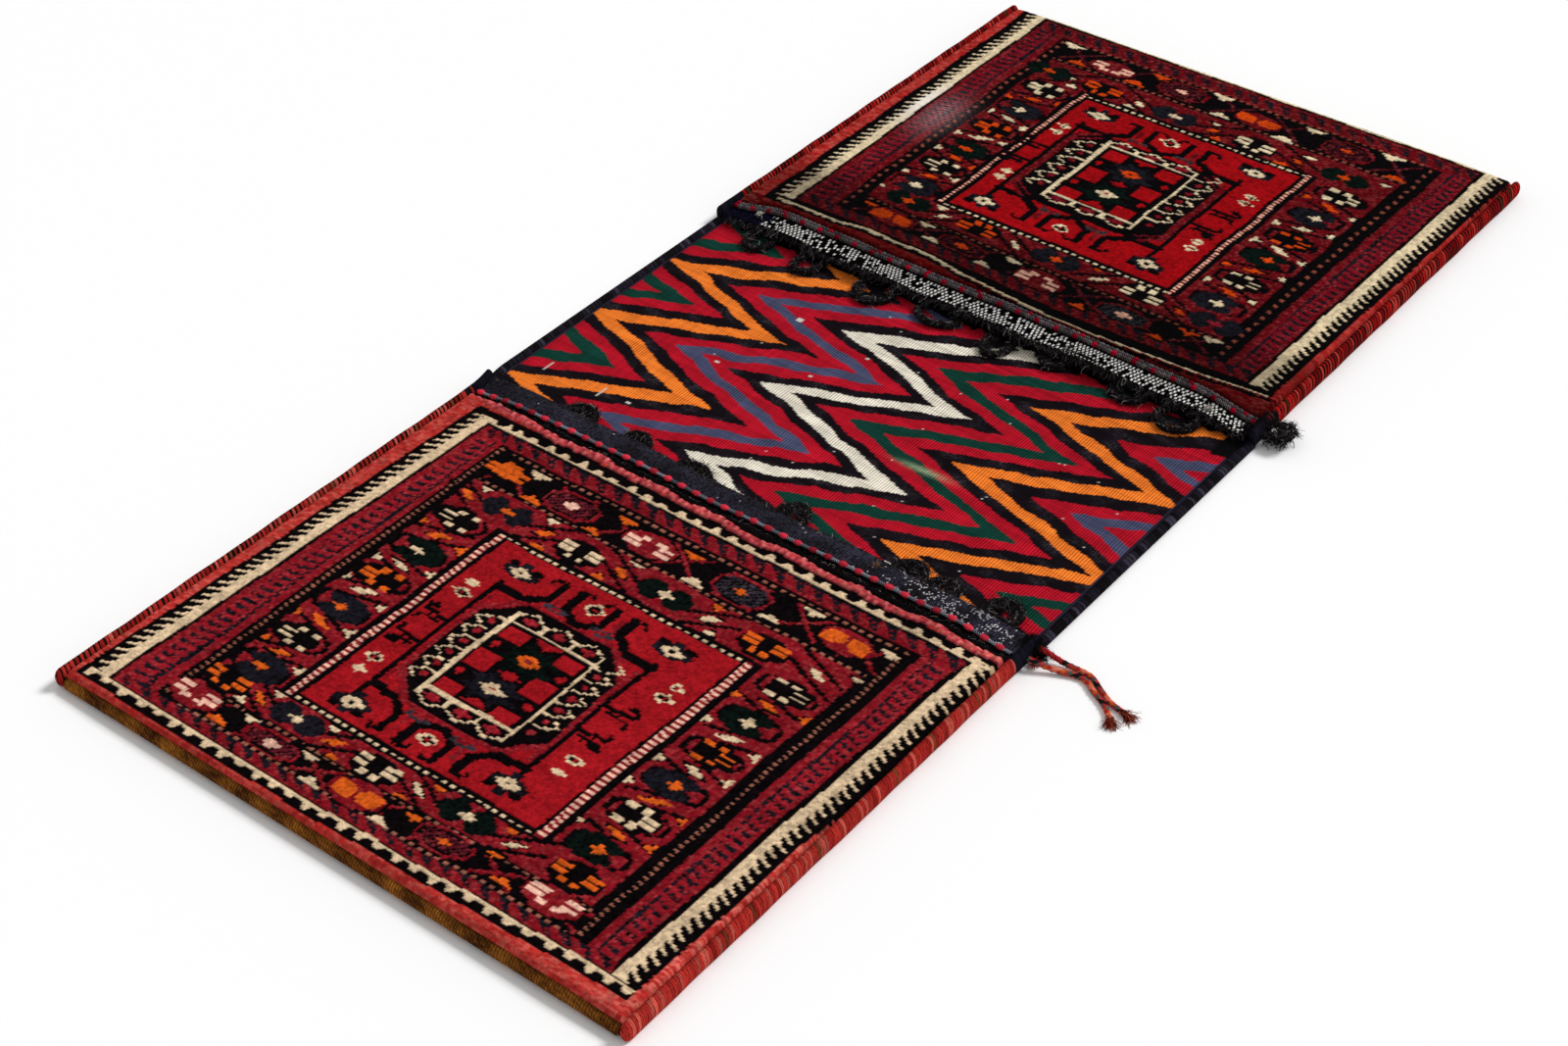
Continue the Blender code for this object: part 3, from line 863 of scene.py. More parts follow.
# %% The field
def field(c, cx, cy, sx, stars, arms, corners, tall=1.0, lift=0.0):
    """stars is (upper wool, upper heart, lower wool, lower heart); sx stretches it across."""
    stretch = 1.0

    def at(u, v):
        return cx + u * sx, cy + v * stretch

    def path(points, width, wool):
        c.stroke([at(*p) for p in points], width, wool)

    for m in (-1, 1):
        path([(m * 76, -88), (m * 76, 72)], 5.0, "black")
        path([(m * 71, -58), (m * 71, 58)], 3.4, "ground")
    for n in (-1, 1):
        arm = arms[0] if n > 0 else arms[1]
        for m in (-1, 1):
            path([(m * 76, n * 67), (m * 50, n * 68), (m * arm, n * 80), (m * arm, n * 99)], 8.0, "black")
            path([(m * arm, n * 99), (m * (arm + 8), n * 102), (m * (arm + 11), n * 97)], 3.4, "black")
            path([(m * 17, n * 100), (m * 17, n * 79), (0, n * 69)], 7.5, "black")
            path([(m * 17, n * 101), (m * 9, n * 103), (m * 6, n * 99)], 3.4, "black")
            path([(m * 56, n * 61), (m * 31, n * 69), (m * 27, n * 80), (m * 27, n * 92)], 3.2, "ground")
            c.octagon(*at(m * 22, n * 74), 22, 8, "ash")
            c.octagon(*at(m * 22, n * 73), 12, 5, "ground")
    cut = 1.60 + 1.3 * (tall - 1)
    c.octagon(cx, cy, 146 * sx, 136, "ground", cut=cut + 0.02)
    c.octagon(cx, cy, 137 * sx, 130 + 40 * (tall - 1), "black", cut=cut)
    for m in (-1, 1):
        for n in (-1, 1):
            path([(m * 69, n * 47), (m * 50, n * 61)], 1.6, "magenta")
    cy, stretch = cy + lift, tall
    for m in (-1, 1):
        for k in range(6):
            y = 42.5 - 14.6 * k
            c.lozenge(*at(m * 52, y - 6.5), 8, 7, "magenta")
            path([(m * 43, y), (m * 54, y + m * 1.2), (m * 65, y + m * 8)], 1.7, "ivory")
            path([(m * 64, y + m * 8.5), (m * 57, y + 12 * (m > 0) - 12.5 * (m < 0))], 1.7, "ivory")
    for n in (-1, 1):
        path([(-43, n * 44.5), (43, n * 44.5)], 2.4, "ivory")
        middle, low, high = (n * (44.5 + out * (1 - 2.6 * (tall - 1))) for out in (7, 9, 16))
        for k in (-1, 0, 1):
            c.lozenge(*at(28.5 * k, middle), 16, 9, "magenta")
            path([(28.5 * k - 13, low), (28.5 * k, high), (28.5 * k + 13, low)], 1.7, "ivory")
        for k in (-1, 1):
            path([(14.2 * k, n * 46), (14.2 * k, low)], 3.4, "ivory")
        for m in (-1, 1):
            path([(m * 42, 0), (m * 42, low)], 4.2, "ivory")
    c.block(cx - 37 * sx, cx + 36 * sx, cy - 41.5 * tall, cy + 41.5 * tall, "black")
    for m in (-1, 1):
        for y, h in ((33, 15), (-1, 20), (-36, 13)):
            low, high = cy + (y - h / 2) * tall, cy + (y + h / 2) * tall
            c.block(cx + m * 26 * sx - 10.5, cx + m * 26 * sx + 9.5, low, high, "red")
        for y in (17, -18):
            c.lozenge(*at(m * 32, y), 9, 9, "red")
    for n in (-1, 1):
        c.wedge(cx, cy + n * 36.5 * tall, 27, 9, "red", (0, -n))
    for k, y in ((0, 17.5), (2, -19.5)):
        wool, heart = stars[k], stars[k + 1]
        y = y * tall
        for m in (-1, 1):
            c.wedge(cx + m * 9, cy + y + 12, 11, 13, wool, (0, 1))
            c.wedge(cx + m * 9, cy + y - 12, 11, 13, wool, (0, -1))
            for n in (-1, 1):
                c.wedge(cx + m * 19, cy + y + n * 5.5, 9, 15, wool, (m, 0))
        c.octagon(cx, cy + y, 34, 24 * tall, wool, cut=1.5)
        c.lozenge(cx, cy + y, 25, 13, heart)
        c.block(cx - 2.8, cx + 2.8, cy + y - 1.4, cy + y + 1.4, "red" if heart == "ivory" else "ground")
    c.lozenge(cx, cy - 1.5, 20, 9, "red")
    cy, stretch = cy - lift, 1.0
    for m in (-1, 1):
        for y in (15, -15):
            path([(m * 76, y + 1), (m * 102, y + 2), (m * 102, y + 8)], 4.0, "black")
            path([(m * 82, y - 4.5), (m * 101, y - 4.5), (m * 103, y - 10)], 3.4, "black")
            for k in (86, 93):
                path([(m * k, y + 6 * (y > 0) - 8), (m * k, y + 2)], 2.2, "black")
            c.octagon(*at(m * 97, y + (9 if y > 0 else -9)), 10, 6, "black")
    for x, y, u, v in corners:
        c.octagon(x, y, 34, 15, "slate")
        c.block(x - 4, x + 4, y - 13 * v, y + 13, "slate")
        for m in (-1, 1):
            c.octagon(x + m * 12, y + 7 * u, 11, 8, "black")
        c.lozenge(x, y, 24, 13.5, "ivory")
        c.block(x - 2.4, x + 2.4, y - 1.5, y + 1.5, "black")


# %% The near pouch
NEAR_LEFT = (312, 288, 266, 245, 225, 206, 183, 162, 140, 119, 100)
NEAR_RIGHT = (312, 291, 269, 248, 228, 207, 187, 166, 147, 127, 107)
NEAR_EYES = [
    (269, 295, 18, 13), (267, 118, 19, 13), (176, 251, 17, 10), (175, 263, 12, 7), (174, 158, 17, 10),
    (174, 143, 12, 7), (371, 252, 17, 10), (371, 266, 12, 7), (364, 164, 18, 9), (363, 149, 12, 7),
]


def near_design(x, y):
    bent = np.interp(x, [0, 58, 78, 150, 270, 395, 540], [0.030, 0.028, -0.004, 0.0, 0.004, 0.024, 0.030])
    lean = bent * (y - 200)
    rise = np.clip((x - 255) / 290, 0, 1) * 10 * np.clip(1 - y / 330, 0, 1)
    c = Cartoon(x - lean, y - rise, "side", 11)
    c.block(19.5, 541, 14.5, 433, "black")
    tooth_band(c, 32, 40.5, -1, 26.5, 424)
    tooth_band(c, 518, 526, 1, 26.5, 424)
    tooth_line(c, 24, -1, 24, 540)
    tooth_line(c, 419.5, 1, 30, 540)
    frame_bands(
        c, (40.5, 518, 25.5, 417), (44.5, 514, 25.5, 417), ((45.5, 75), (490, 513)), (26, 416),
        ((49, 516, 402, 416), (49, 516, 26, 36)), (75.5, 487.5, 35, 403), (81, 477), (37, 400), 5.4,
    )
    dashes(c, (37, 61.5, 360, 398), 92, 470, 8.2, 4.2, "rope", 2.4)
    border_ground(c, 90, 146, 405, 468, 64.5, 90, 323.5, 357.5)
    vines(c, 96, ((38, 60), (363, 396)), "ground")
    butterfly(c, 101, 51, "pink")
    hexagon_bud(c, 181, 48, "pink", h=21)
    butterfly(c, 266, 49, "orange", solid=True)
    hexagon_bud(c, 347, 51, "orange", h=22)
    butterfly(c, 443, 53, "pink")
    wedges(c, (10, 7), {
        "orange u": ((133, 44), (405, 46)), "orange d": ((314, 55), (383, 61)),
        "ivory u": ((231, 40), (296, 40)), "ivory d": ((152, 57), (213, 55)),
    })
    flower(c, 105, 380, "orange", flip=-1)
    c.octagon(105, 381, 24, 17, "orange")
    hexagon_bud(c, 173, 378, "pink", h=30)
    butterfly(c, 252, 379, "pink", -1)
    hexagon_bud(c, 340, 379, "orange", "ash", h=30)
    butterfly(c, 435, 381, "orange", -1, solid=True)
    wedges(c, (12, 8), {
        "orange u": ((142, 366), (205, 365)), "orange d": ((221, 389), (287, 388)),
        "ivory u": ((304, 366), (375, 369)), "ivory d": ((127, 390), (396, 391), (470, 389)),
    })
    leaves(c, 77, 18, [(142, "orange", -0.5), (216, "orange", 0.5), (298, "ivory", -0.5), (388, "ivory", 0.5)])
    leaves(c, 340, 18, [
        (98, "orange", -0.5), (178, "orange", 0.5), (256, "orange", -0.5), (342, "ivory", 0.5), (440, "ivory", -0.4),
    ])
    flower(c, 106, 78, "orange")
    dark_flower(c, 178, 77, "slate", "ivory")
    flower(c, 258, 77, "ivory")
    dark_flower(c, 343, 78, "green", "ivory")
    flower(c, 440, 80, "orange")
    dark_flower(c, 137, 342, "slate", "orange")
    flower(c, 215, 340, "ivory")
    dark_flower(c, 298, 341, "green", "ivory")
    flower(c, 392, 341, "orange")
    wedges(c, (7, 6), {
        "ivory d": ((150, 87), (207, 86), (107, 353), (173, 353), (260, 353), (466, 352)),
        "ivory u": ((130, 69), (352, 328)), "orange d": ((309, 86), (339, 353), (378, 86)),
        "orange u": ((225, 66), (291, 66), (184, 327), (245, 327)),
    })
    column(c, 115.5, -1, NEAR_LEFT, (("green", "ivory"), ("slate", "orange"), ("slate", "orange")))
    column(c, 435, 1, NEAR_RIGHT, (("green", "ivory"), ("slate", "orange"), ("green", "orange")))
    wedges(c, (9, 8), {
        "orange r": ((95, 295), (95, 160), (96, 125), (409, 288)),
        "orange l": ((140, 285), (462, 295), (460, 162), (461, 130)),
        "ivory r": ((96, 242), (95, 212), (409, 254), (409, 204), (409, 172), (407, 122)),
        "ivory l": ((141, 250), (138, 200), (140, 165), (140, 113), (460, 243), (460, 211)),
    })
    field_frame(c, (145.5, 404.5, 89.5, 323), ((151, 156.5), (391.5, 398.5)), 91, 321, 5.5,
                (93.5, 318.5), 157, 391, (161, 388, 97, 315.5))
    field(c, 267.5, 204.5, 1.0, ("green", "orange", "slate", "ivory"), (34, 36),
          [(196, 293, 1, 0), (343, 294, 1, 0), (196, 114, -1, 1), (343, 119, -1, 1)])
    for eye in NEAR_EYES:
        small_eye(c, *eye)
    ridge = c.up + 2.2 * ripple(x, 0 * y, 75, 5) + 0.8 * ripple(x, y, 19, 6)
    ridge = ridge - np.interp(x, [0, 100, 560], [3, 0, -5])
    c.lay(ridge > 432.5, "ridge")
    c.lay((ridge > 439.5) & (c.across > 12), "black")
    return c


# %% The far pouch
FAR_LEFT = (1135, 1113, 1089, 1069, 1045, 1024, 1000, 981, 962, 941, 920)
FAR_RIGHT = (1135, 1114, 1091, 1069, 1046, 1026, 1007, 985, 964, 943, 923)
FAR_HEARTS = (("slate", "ivory"), ("green", "orange"), ("slate", "ivory"))
FAR_EYES = [
    (260, 1123, 20, 13), (259, 940, 19, 12), (164, 1089, 12, 8), (164, 1077, 12, 8), (166, 991, 12, 8),
    (166, 979, 12, 8), (369, 1087, 14, 8), (369, 1075, 14, 8), (368, 995, 14, 8), (368, 983, 14, 8),
]


def far_design(x, y):
    lean = np.interp(x, [0, 60, 150, 270, 390, 540], [-0.010, -0.010, 0.0, 0.0, 0.008, 0.018]) * (y - 1030)
    wave = np.interp(x, [20, 110, 190, 330, 420, 540], [-2, 3, 4, -6, -3, 9]) * np.clip((880 - y) / 60, 0, 1)
    c = Cartoon(x - lean, y - wave, "side", 29)
    c.block(12.5, 538.5, 812, 1262, "black")
    tooth_band(c, 28, 36, -1, 834, 1256)
    tooth_band(c, 514, 522.5, 1, 834, 1256)
    tooth_line(c, 1254, 1, 20, 535)
    # The line by the mouth wanders, and its lower side is bumpy
    sway = np.interp(x, [40, 95, 118, 150, 190, 230, 260, 300, 350], [0, -1, 3.5, 1.5, 3.5, -3, -3.5, -3, -4])
    bumps = np.clip(1.6 + 1.6 * ripple(x, 0 * x, 9, 57), 0.8, 3.4)
    c.lay((c.up > 828 + sway - bumps) & (c.up < 830 + sway) & (c.x > 24) & (c.x < 535), "ivory")
    frame_bands(
        c, (36, 514, 834, 1252), (39, 511, 835, 1250), ((40, 68), (486, 511)), (835, 1249),
        ((40, 511, 1232, 1247), (40, 511, 836, 850)), (71, 483, 850, 1231), (76, 473), (852, 1229), 11,
    )
    dashes(c, (1229, 1191, 877), 84, 466, 8.2, 4.0, "rope", 2.4)
    border_ground(c, 84, 140, 399, 463, 879, 909, 1152, 1189)
    vines(c, 88, ((1193, 1228), (851, 876)), "purple")
    butterfly(c, 142, 1207, "pink")
    hexagon_bud(c, 219, 1211, "pink", h=30)
    butterfly(c, 305, 1207, "orange", solid=True)
    hexagon_bud(c, 398, 1209, "orange", h=30)
    butterfly(c, 127, 863, "orange", -1, solid=True)
    hexagon_bud(c, 205, 862, "orange", h=22)
    butterfly(c, 288, 861, "pink", -1)
    hexagon_bud(c, 376, 860, "pink", "ash", h=24)
    wedges(c, (12, 9), {
        "orange u": ((109, 1198), (173, 1199), (453, 1197)), "orange d": ((188, 1222),),
        "ivory u": ((270, 1196), (338, 1195)), "ivory d": ((89, 1221), (256, 1223), (355, 1222), (434, 1223)),
    })
    wedges(c, (10, 7), {
        "orange u": ((338, 851), (415, 851)), "orange d": ((436, 870), (98, 869)),
        "ivory u": ((175, 856), (234, 852)), "ivory d": ((159, 871), (255, 870), (457, 872)),
    })
    leaves(c, 1167, 16, [(119, "ivory", 0.5), (198, "ivory", -0.5), (280, "orange", 0.5), (369, "orange", -0.5)])
    leaves(c, 893, 15, [(163, "ivory", 0.6), (242, "ivory", -0.6), (330, "ivory", 0.6), (412, "orange", -0.5)])
    flower(c, 155, 1169, "orange")
    dark_flower(c, 236, 1168, "slate", "ivory")
    flower(c, 323, 1168, "ivory")
    dark_flower(c, 417, 1167, "green", "orange")
    dark_flower(c, 94, 1168, "green", "orange")
    dark_flower(c, 123, 895, "green", "orange")
    flower(c, 200, 895, "orange", flip=-1)
    dark_flower(c, 283, 896, "slate", "orange")
    flower(c, 373, 895, "ivory", flip=-1)
    dark_flower(c, 446, 896, "slate", "magenta")
    wedges(c, (7, 6), {
        "ivory d": ((275, 1178), (375, 1177), (453, 1178), (155, 903)), "ivory u": ((128, 1157), (192, 1158)),
        "orange u": ((288, 1157), (359, 1157)), "orange d": ((321, 904),), "ivory r": ((88, 902),),
    })
    column(c, 113, -1, FAR_LEFT, FAR_HEARTS)
    column(c, 431, 1, FAR_RIGHT, FAR_HEARTS)
    wedges(c, (9, 8), {
        "orange r": ((92, 1104), (406, 1119), (406, 981)), "orange l": ((135, 1120), (135, 976)),
        "ivory r": ((93, 1072), (92, 1020), (91, 986), (91, 935), (407, 1064), (407, 1029), (406, 950)),
        "ivory l": ((133, 1062), (134, 1028), (133, 949), (456, 1109), (456, 1073), (456, 1020), (456, 989),
                    (453, 942)),
    })
    field_frame(c, (140, 399, 907, 1154), ((145.2, 149.2), (388.2, 392.2)), 909, 1152, 4.6,
                (1149, 911), 150, 389, (155, 383, 916, 1145))
    field(c, 260, 1031, 1.12, ("slate", "orange", "green", "ivory"), (34, 34),
          [(180, 1125, 1, 0), (349, 1124, 1, 0), (178, 936, -1, 1), (350, 938, -1, 1)], tall=1.13, lift=3.5)
    for eye in FAR_EYES:
        small_eye(c, *eye)
    c.lay(c.up < 824, "ridge")
    lower = 822 + sway + 1.2 * ripple(x, 0 * x, 11, 58)
    c.lay((c.up < 828 + sway - bumps) & (c.up > lower) & (c.x > 14) & (c.x < 540), "black")
    return c


# %% [markdown]
# Knotted pile is thousands of tufts, too many to model one by one. A grid with about two
# cells to a knot can carry their colour and their relief: each knot stands a little higher
# or lower than the next, and black wool is worn lower, because its iron dye eats it. The
# face starts low on the fold, and its rim turns down to the cloth on all outer sides.

# %% Pile faces
def front_top(pouch, x, s):
    """Height of the outside of the cloth, round the fold and on the front beyond it."""
    radius = fold_radius(x) + WEB / 2
    outer = radius + np.sqrt(np.clip(radius**2 - (radius - s) ** 2, 0, None))
    return np.where(s < radius, outer + swell(pouch, x, s), face_height(pouch, x, s) + WEB / 2)


def knot_table(seed):
    """A random number for each knot, used again every 512 knots."""
    return np.random.default_rng(seed).random((512, 512))


def is_wool(c, *names):
    return np.isin(c.wool, [WOOLS.index(name) for name in names])


def wool_colours(c, wools, x, y, seed, salmon):
    """Knot tones, row batches, mottled plain outer wool, and painted highlight and shade on the near ridge's tufts."""
    colours = np.array([wools[name] for name in WOOLS])[c.wool]
    knots, pairs = knot_table(seed), knot_table(seed + 1)
    mottle = np.clip(pairs[c.row % 512, (c.column // 2) % 512] * 1.6 - 0.5, 0, 1)
    share = np.interp(x, [0, 30, 515, 545], salmon)
    plain = is_wool(c, "side", "ridge")
    if wools is NEAR_WOOL:
        # Painted highlight and shade: the wave that raises the near ridge's tufts makes their tops pink-white and the
        # hollows darker
        tuft_light_and_shade = is_wool(c, "ridge") * np.clip(0.9 * ripple(x, y, 6.5, seed + 9), -0.5, 1)
        colours = colours * (1 + 0.8 * np.clip(tuft_light_and_shade, -0.5, 0))[:, None]
        colours += (np.array(dye(238, 140, 136)) - colours) * (0.6 * np.clip(tuft_light_and_shade, 0, 1))[:, None]
    light = np.array(dye(216, 112, 98))
    colours = np.where(plain[:, None], colours + (light - colours) * (mottle * share)[:, None], colours)
    faded = is_wool(c, "ground", "magenta", "purple")
    worn = np.clip(knots[(c.row + 90) % 512, (c.column + 7) % 512] * 2.2 - 1.25, 0, 1) * 0.34
    pale = np.array(wools["side"]) * 0.9 + 0.05
    colours = np.where(faded[:, None], colours + (pale - colours) * worn[:, None], colours)
    dark = is_wool(c, "black", "slate", "green", "ash")
    tone = 0.68 + (0.60 + 0.7 * dark) * (knots[c.row % 512, c.column % 512] - 0.3 * dark)
    tone = tone + 0.10 * ripple(x * 0.4, y * 3, 26, seed) + 0.07 * ripple(x, y, 110, seed + 5)
    return colours * tone[:, None]


def pile_face(pouch, half, design, wools, seed, salmon):
    """One half of a pouch's pile, left for half -1 and right for 1."""
    name = f"{pouch['name']}_pile_{'left' if half < 0 else 'right'}"
    cell = 0.00137
    s0, s1 = pouch["pile"], pouch["depth"] - pouch["inset"] - pouch["twine"] / 2 - pouch["bare"]
    mesh, u, v = grid_mesh(name, round(WEB_HALF / cell), round((s1 - s0) / cell))
    x = (u if half > 0 else u - 1) * WEB_HALF
    s = s0 + (v if pouch["side"] < 0 else 1 - v) * (s1 - s0)
    y = face_y(pouch, s)
    base = front_top(pouch, x, s)
    round_in = np.clip((s - s0) / 0.008, 0, 1)
    full = 0.25 + 0.75 * np.sqrt(1 - (1 - round_in) ** 2)
    full *= 0.80 + 0.20 * smooth((WEB_HALF - np.abs(x)) / 0.006)
    full *= 0.72 + 0.28 * smooth((s1 - s) / 0.005)
    points = draw_in(np.stack([x, y, base + CLEAR + PILE * full], axis=1))
    a, b = plan(points)
    c = design(a, b)
    colours = wool_colours(c, wools, a, b, seed, salmon)
    if pouch is FAR:
        colours = far_wear_and_shade(colours, a, b)
    low = np.where(is_wool(c, "black", "slate", "green"), -0.00045, 0.0)
    ridge = is_wool(c, "ridge")
    high = np.where(ridge & (pouch is NEAR), 0.0012 + 0.0006 * ripple(a, b, 6.5, seed + 9), 0.0003 * ridge)
    tufts = knot_table(seed + 2)[c.row % 512, c.column % 512] - 0.5
    fine = np.random.default_rng(seed + 3).uniform(-1, 1, len(x))
    points[:, 2] += (low + high) * smooth((s - s0) / 0.01) + 0.00034 * tufts + 0.00016 * fine
    outer = np.abs(x) > WEB_HALF - 0.3 * cell
    rim = outer | (s < s0 + 1e-6) | (s > s1 - 1e-6)
    points[rim, 2] = base[rim] + CLEAR
    set_points(mesh, points, colours)
    finish_piece(name, mesh, pile_wool, "pile_wool", pouch["name"] + "_pile")
    print(name, "quads", len(mesh.polygons))


def far_wear_and_shade(colours, x, y):
    """A rubbed, pale patch by the left edge, and painted shade that darkens the pile near the mouth."""
    rub = 0.30 * np.exp(-(((x - 58) / 18) ** 2) - ((y - 1035) / 34) ** 2)
    rub = np.clip(rub * (1 + 1.3 * ripple(x, y, 4, 77)), 0, 1)
    rub = np.maximum(rub, 0.8 * np.exp(-(((x - 31) / 7) ** 4) - ((y - 1046) / 38) ** 2))[:, None]
    # Painted shade: the pile darkens towards the far mouth
    shade = 1 - 0.52 * smooth((918 - y) / 50)[:, None]
    pale = np.where((x < 40)[:, None], np.array(dye(244, 236, 226)), np.array(dye(178, 148, 152)))
    bleached = np.where(((x < 40) & (colours.sum(axis=1) < 0.4))[:, None], colours, pale)
    return (colours + (bleached - colours) * rub) * shade


for half in (-1, 1):
    pile_face(NEAR, half, near_design, NEAR_WOOL, 101, [0.55, 0.25, 0.45, 0.95])
    pile_face(FAR, half, far_design, FAR_WOOL, 201, [0.40, 0.10, 0.10, 0.25])


# %% [markdown]
# The cloth itself is a single folded sheet: up from the near mouth's edge, round the fold,
# along the floor, round the far fold and back up. A grid follows it along its outside and
# comes home along its inside, and its two long sides are pinched to nothing inside the
# wound seams, so that it closes. Underneath, it is plain stripes with brown and gold ends.

# %% The folded web
def strip_stations():
    """(part, place) of every row of the strip, from the near mouth's edge to the far one's."""
    front = np.concatenate([np.linspace(1, 0.955, 9), np.linspace(0.93, 0, 26)])
    turn = np.linspace(math.pi / 2, -math.pi / 2, 15)[1:-1]
    runs = (("near", front), ("near_fold", turn), ("back", np.linspace(0, 1, 60)),
            ("far_fold", turn[::-1]), ("far", front[::-1]))
    return [(part, place) for part, places in runs for place in places]


def strip_place(part, place, x):
    """(y, z) of the middle of the cloth for all x of one row."""
    radius = fold_radius(x)
    start = radius + WEB / 2
    if part == "back":
        return (2 * place - 1) * (LENGTH / 2 - start), np.full_like(x, WEB / 2)
    pouch = NEAR if part.startswith("near") else FAR
    if part.endswith("fold"):
        return face_y(pouch, start - radius * math.cos(place)), start + radius * math.sin(place)
    s = start + (pouch["depth"] - start) * place
    return face_y(pouch, s), face_height(pouch, x, s)


# Where each stripe starts, in millimetres from the left side
STRIPES = [
    (0, "slate"), (14, "brown"), (38, "red"), (62, "black"), (74, "gold"), (96, "brown"), (120, "red"),
    (160, "black"), (172, "blue"), (186, "black"), (198, "red"), (238, "brown"), (262, "gold"), (286, "brown"),
    (310, "red"), (350, "black"), (362, "blue"), (376, "black"), (388, "red"), (428, "brown"), (452, "gold"),
    (474, "black"), (486, "red"), (512, "brown"), (536, "slate"),
]


def stripe_colours(x, y, seed):
    """Plain stripes along the strip, and brown and gold weft at the two folds."""
    places = np.array([p for p, _ in STRIPES]) / 1000 - WIDTH / 2
    wools = np.array([BRIDGE_WOOL[w] for _, w in STRIPES])
    colours = wools[np.clip(np.searchsorted(places, x + 0.0008 * ripple(x, y, 0.05, seed)) - 1, 0, len(wools) - 1)]
    end = smooth((np.abs(y) - 0.585 + 0.008 * ripple(x, y, 0.03, seed + 2)) / 0.006)[:, None]
    cloud = np.clip(0.5 + 0.5 * ripple(x, y * 0.3, 0.045, seed + 4), 0, 1)
    fleck = (np.random.default_rng(seed).uniform(0, 1, len(x)) * 0.5 + 0.5 * cloud)[:, None]
    brown, gold = np.array(dye(52, 24, 12)), np.array(dye(168, 104, 38))
    return colours * (1 - end) + (brown + (gold - brown) * fleck**1.6) * end


def build_web():
    """The whole folded cloth: its outside rows first, then its inside ones on the way back."""
    stations = strip_stations()
    count = len(stations)
    columns = 212
    mesh, u, v = grid_mesh("web_cloth", columns, 2 * count)
    column = np.round(u * columns).astype(int)
    row = np.round(v * 2 * count).astype(int) % (2 * count)
    inner = row >= count
    station = np.where(inner, 2 * count - 1 - row, row)
    across = np.linspace(-WEB_HALF, WEB_HALF, columns + 1)
    middle = np.array([np.broadcast_arrays(*strip_place(part, place, across)) for part, place in stations])
    heading = np.gradient(middle, axis=0)
    heading /= np.linalg.norm(heading, axis=1, keepdims=True)
    outward = np.stack([heading[:, 1], -heading[:, 0]], axis=1)
    thick = np.where((across > -WEB_HALF + 1e-6) & (across < WEB_HALF - 1e-6), WEB / 2 * 0.96, 0)
    way = np.where(inner, -1.0, 1.0) * thick[column]
    y = middle[station, 0, column] + outward[station, 0, column] * way
    z = middle[station, 1, column] + outward[station, 1, column] * way
    x = across[column]
    colours = stripe_colours(x, y, 31)
    # Painted shade: the high cloth inside and under both mouths is made near-black, for the shaded insides of the
    # pouches
    colours[(z > 0.0085) & (np.abs(y) < 0.24)] = dye(13, 10, 12)
    set_points(mesh, draw_in(np.stack([x, y, z], axis=1)), colours)
    close_up(mesh)
    run = np.linalg.norm(np.diff(middle[:, :, columns // 2], axis=0), axis=1).sum()
    print("web quads", len(mesh.polygons), "strip length", round(run, 3))
    return finish_piece("web_cloth", mesh, flat_wool, "flat_weave", "web"), run


web_cloth, strip_length = build_web()

# %% [markdown]
# The bridge's face is woven in zigzags of orange, red, blue, ivory and green with black
# between them. Its weft covers the warps, so colours meet in small steps. It gets its own
# finer grid just over the cloth. A zigzag is a wave across the strip: its place at any
# height shifts all bands sideways together, and a row of stops gives their colours.

# %% The zigzags of the bridge
WARP_STEP, WEFT_STEP = 2.3, 1.9
ZIG_TOP = [(430, 1), (479, 0), (535, 1), (591, 0), (645, 1), (690, 0), (750, 1), (810, 0)]
ZIG_BANDS = [
    (-260, "black"), (-230, "red"), (-200, "blue"), (-168, "red"), (-101, "green"), (-67, "red"), (-34, "black"),
    (-3, "orange"), (32, "black"), (63, "red"), (96, "blue"), (125, "red"), (157, "black"), (186, "ivory"),
    (218, "black"), (246, "red"), (278, "green"), (311, "red"), (344, "black"), (377, "orange"), (411, "black"),
    (450, "red"), (486, "blue"), (518, "red"), (552, "black"),
]
BRIDGE_NAMES = list(BRIDGE_WOOL)


def zigzag_wools(x, y):
    """The wool of each point of the bridge, in plan millimetres, in steps of one warp."""
    x = (np.floor(x / WARP_STEP) + 0.5) * WARP_STEP
    y = y + 1.6 * ripple(x, y, 60, 41) + 0.8 * ripple(x, y, 17, 42)
    level = y - 0.033 * x
    swing = np.interp(level, [p for p, _ in ZIG_TOP], [w for _, w in ZIG_TOP])
    slip = np.interp(y, [465, 500, 552, 598, 655, 700, 745], [6, 9, 14, -1, 2, 14, 11])
    slip = slip + np.interp(y, [500, 552, 600, 655, 700], [2, 8, 0, 3, -3]) * (x - 250) / 200
    phase = x - slip - 141 * swing + 5 * ripple(x, y, 130, 43) + 1.5 * ripple(x, y, 30, 44)
    pick = np.clip(np.searchsorted([p for p, _ in ZIG_BANDS], phase) - 1, 0, len(ZIG_BANDS) - 1)
    wool = np.array([BRIDGE_NAMES.index(w) for _, w in ZIG_BANDS])[pick]
    corner = (x > 430) & (y < 522) & (wool == BRIDGE_NAMES.index("blue"))
    return np.where(corner, BRIDGE_NAMES.index("green"), wool)


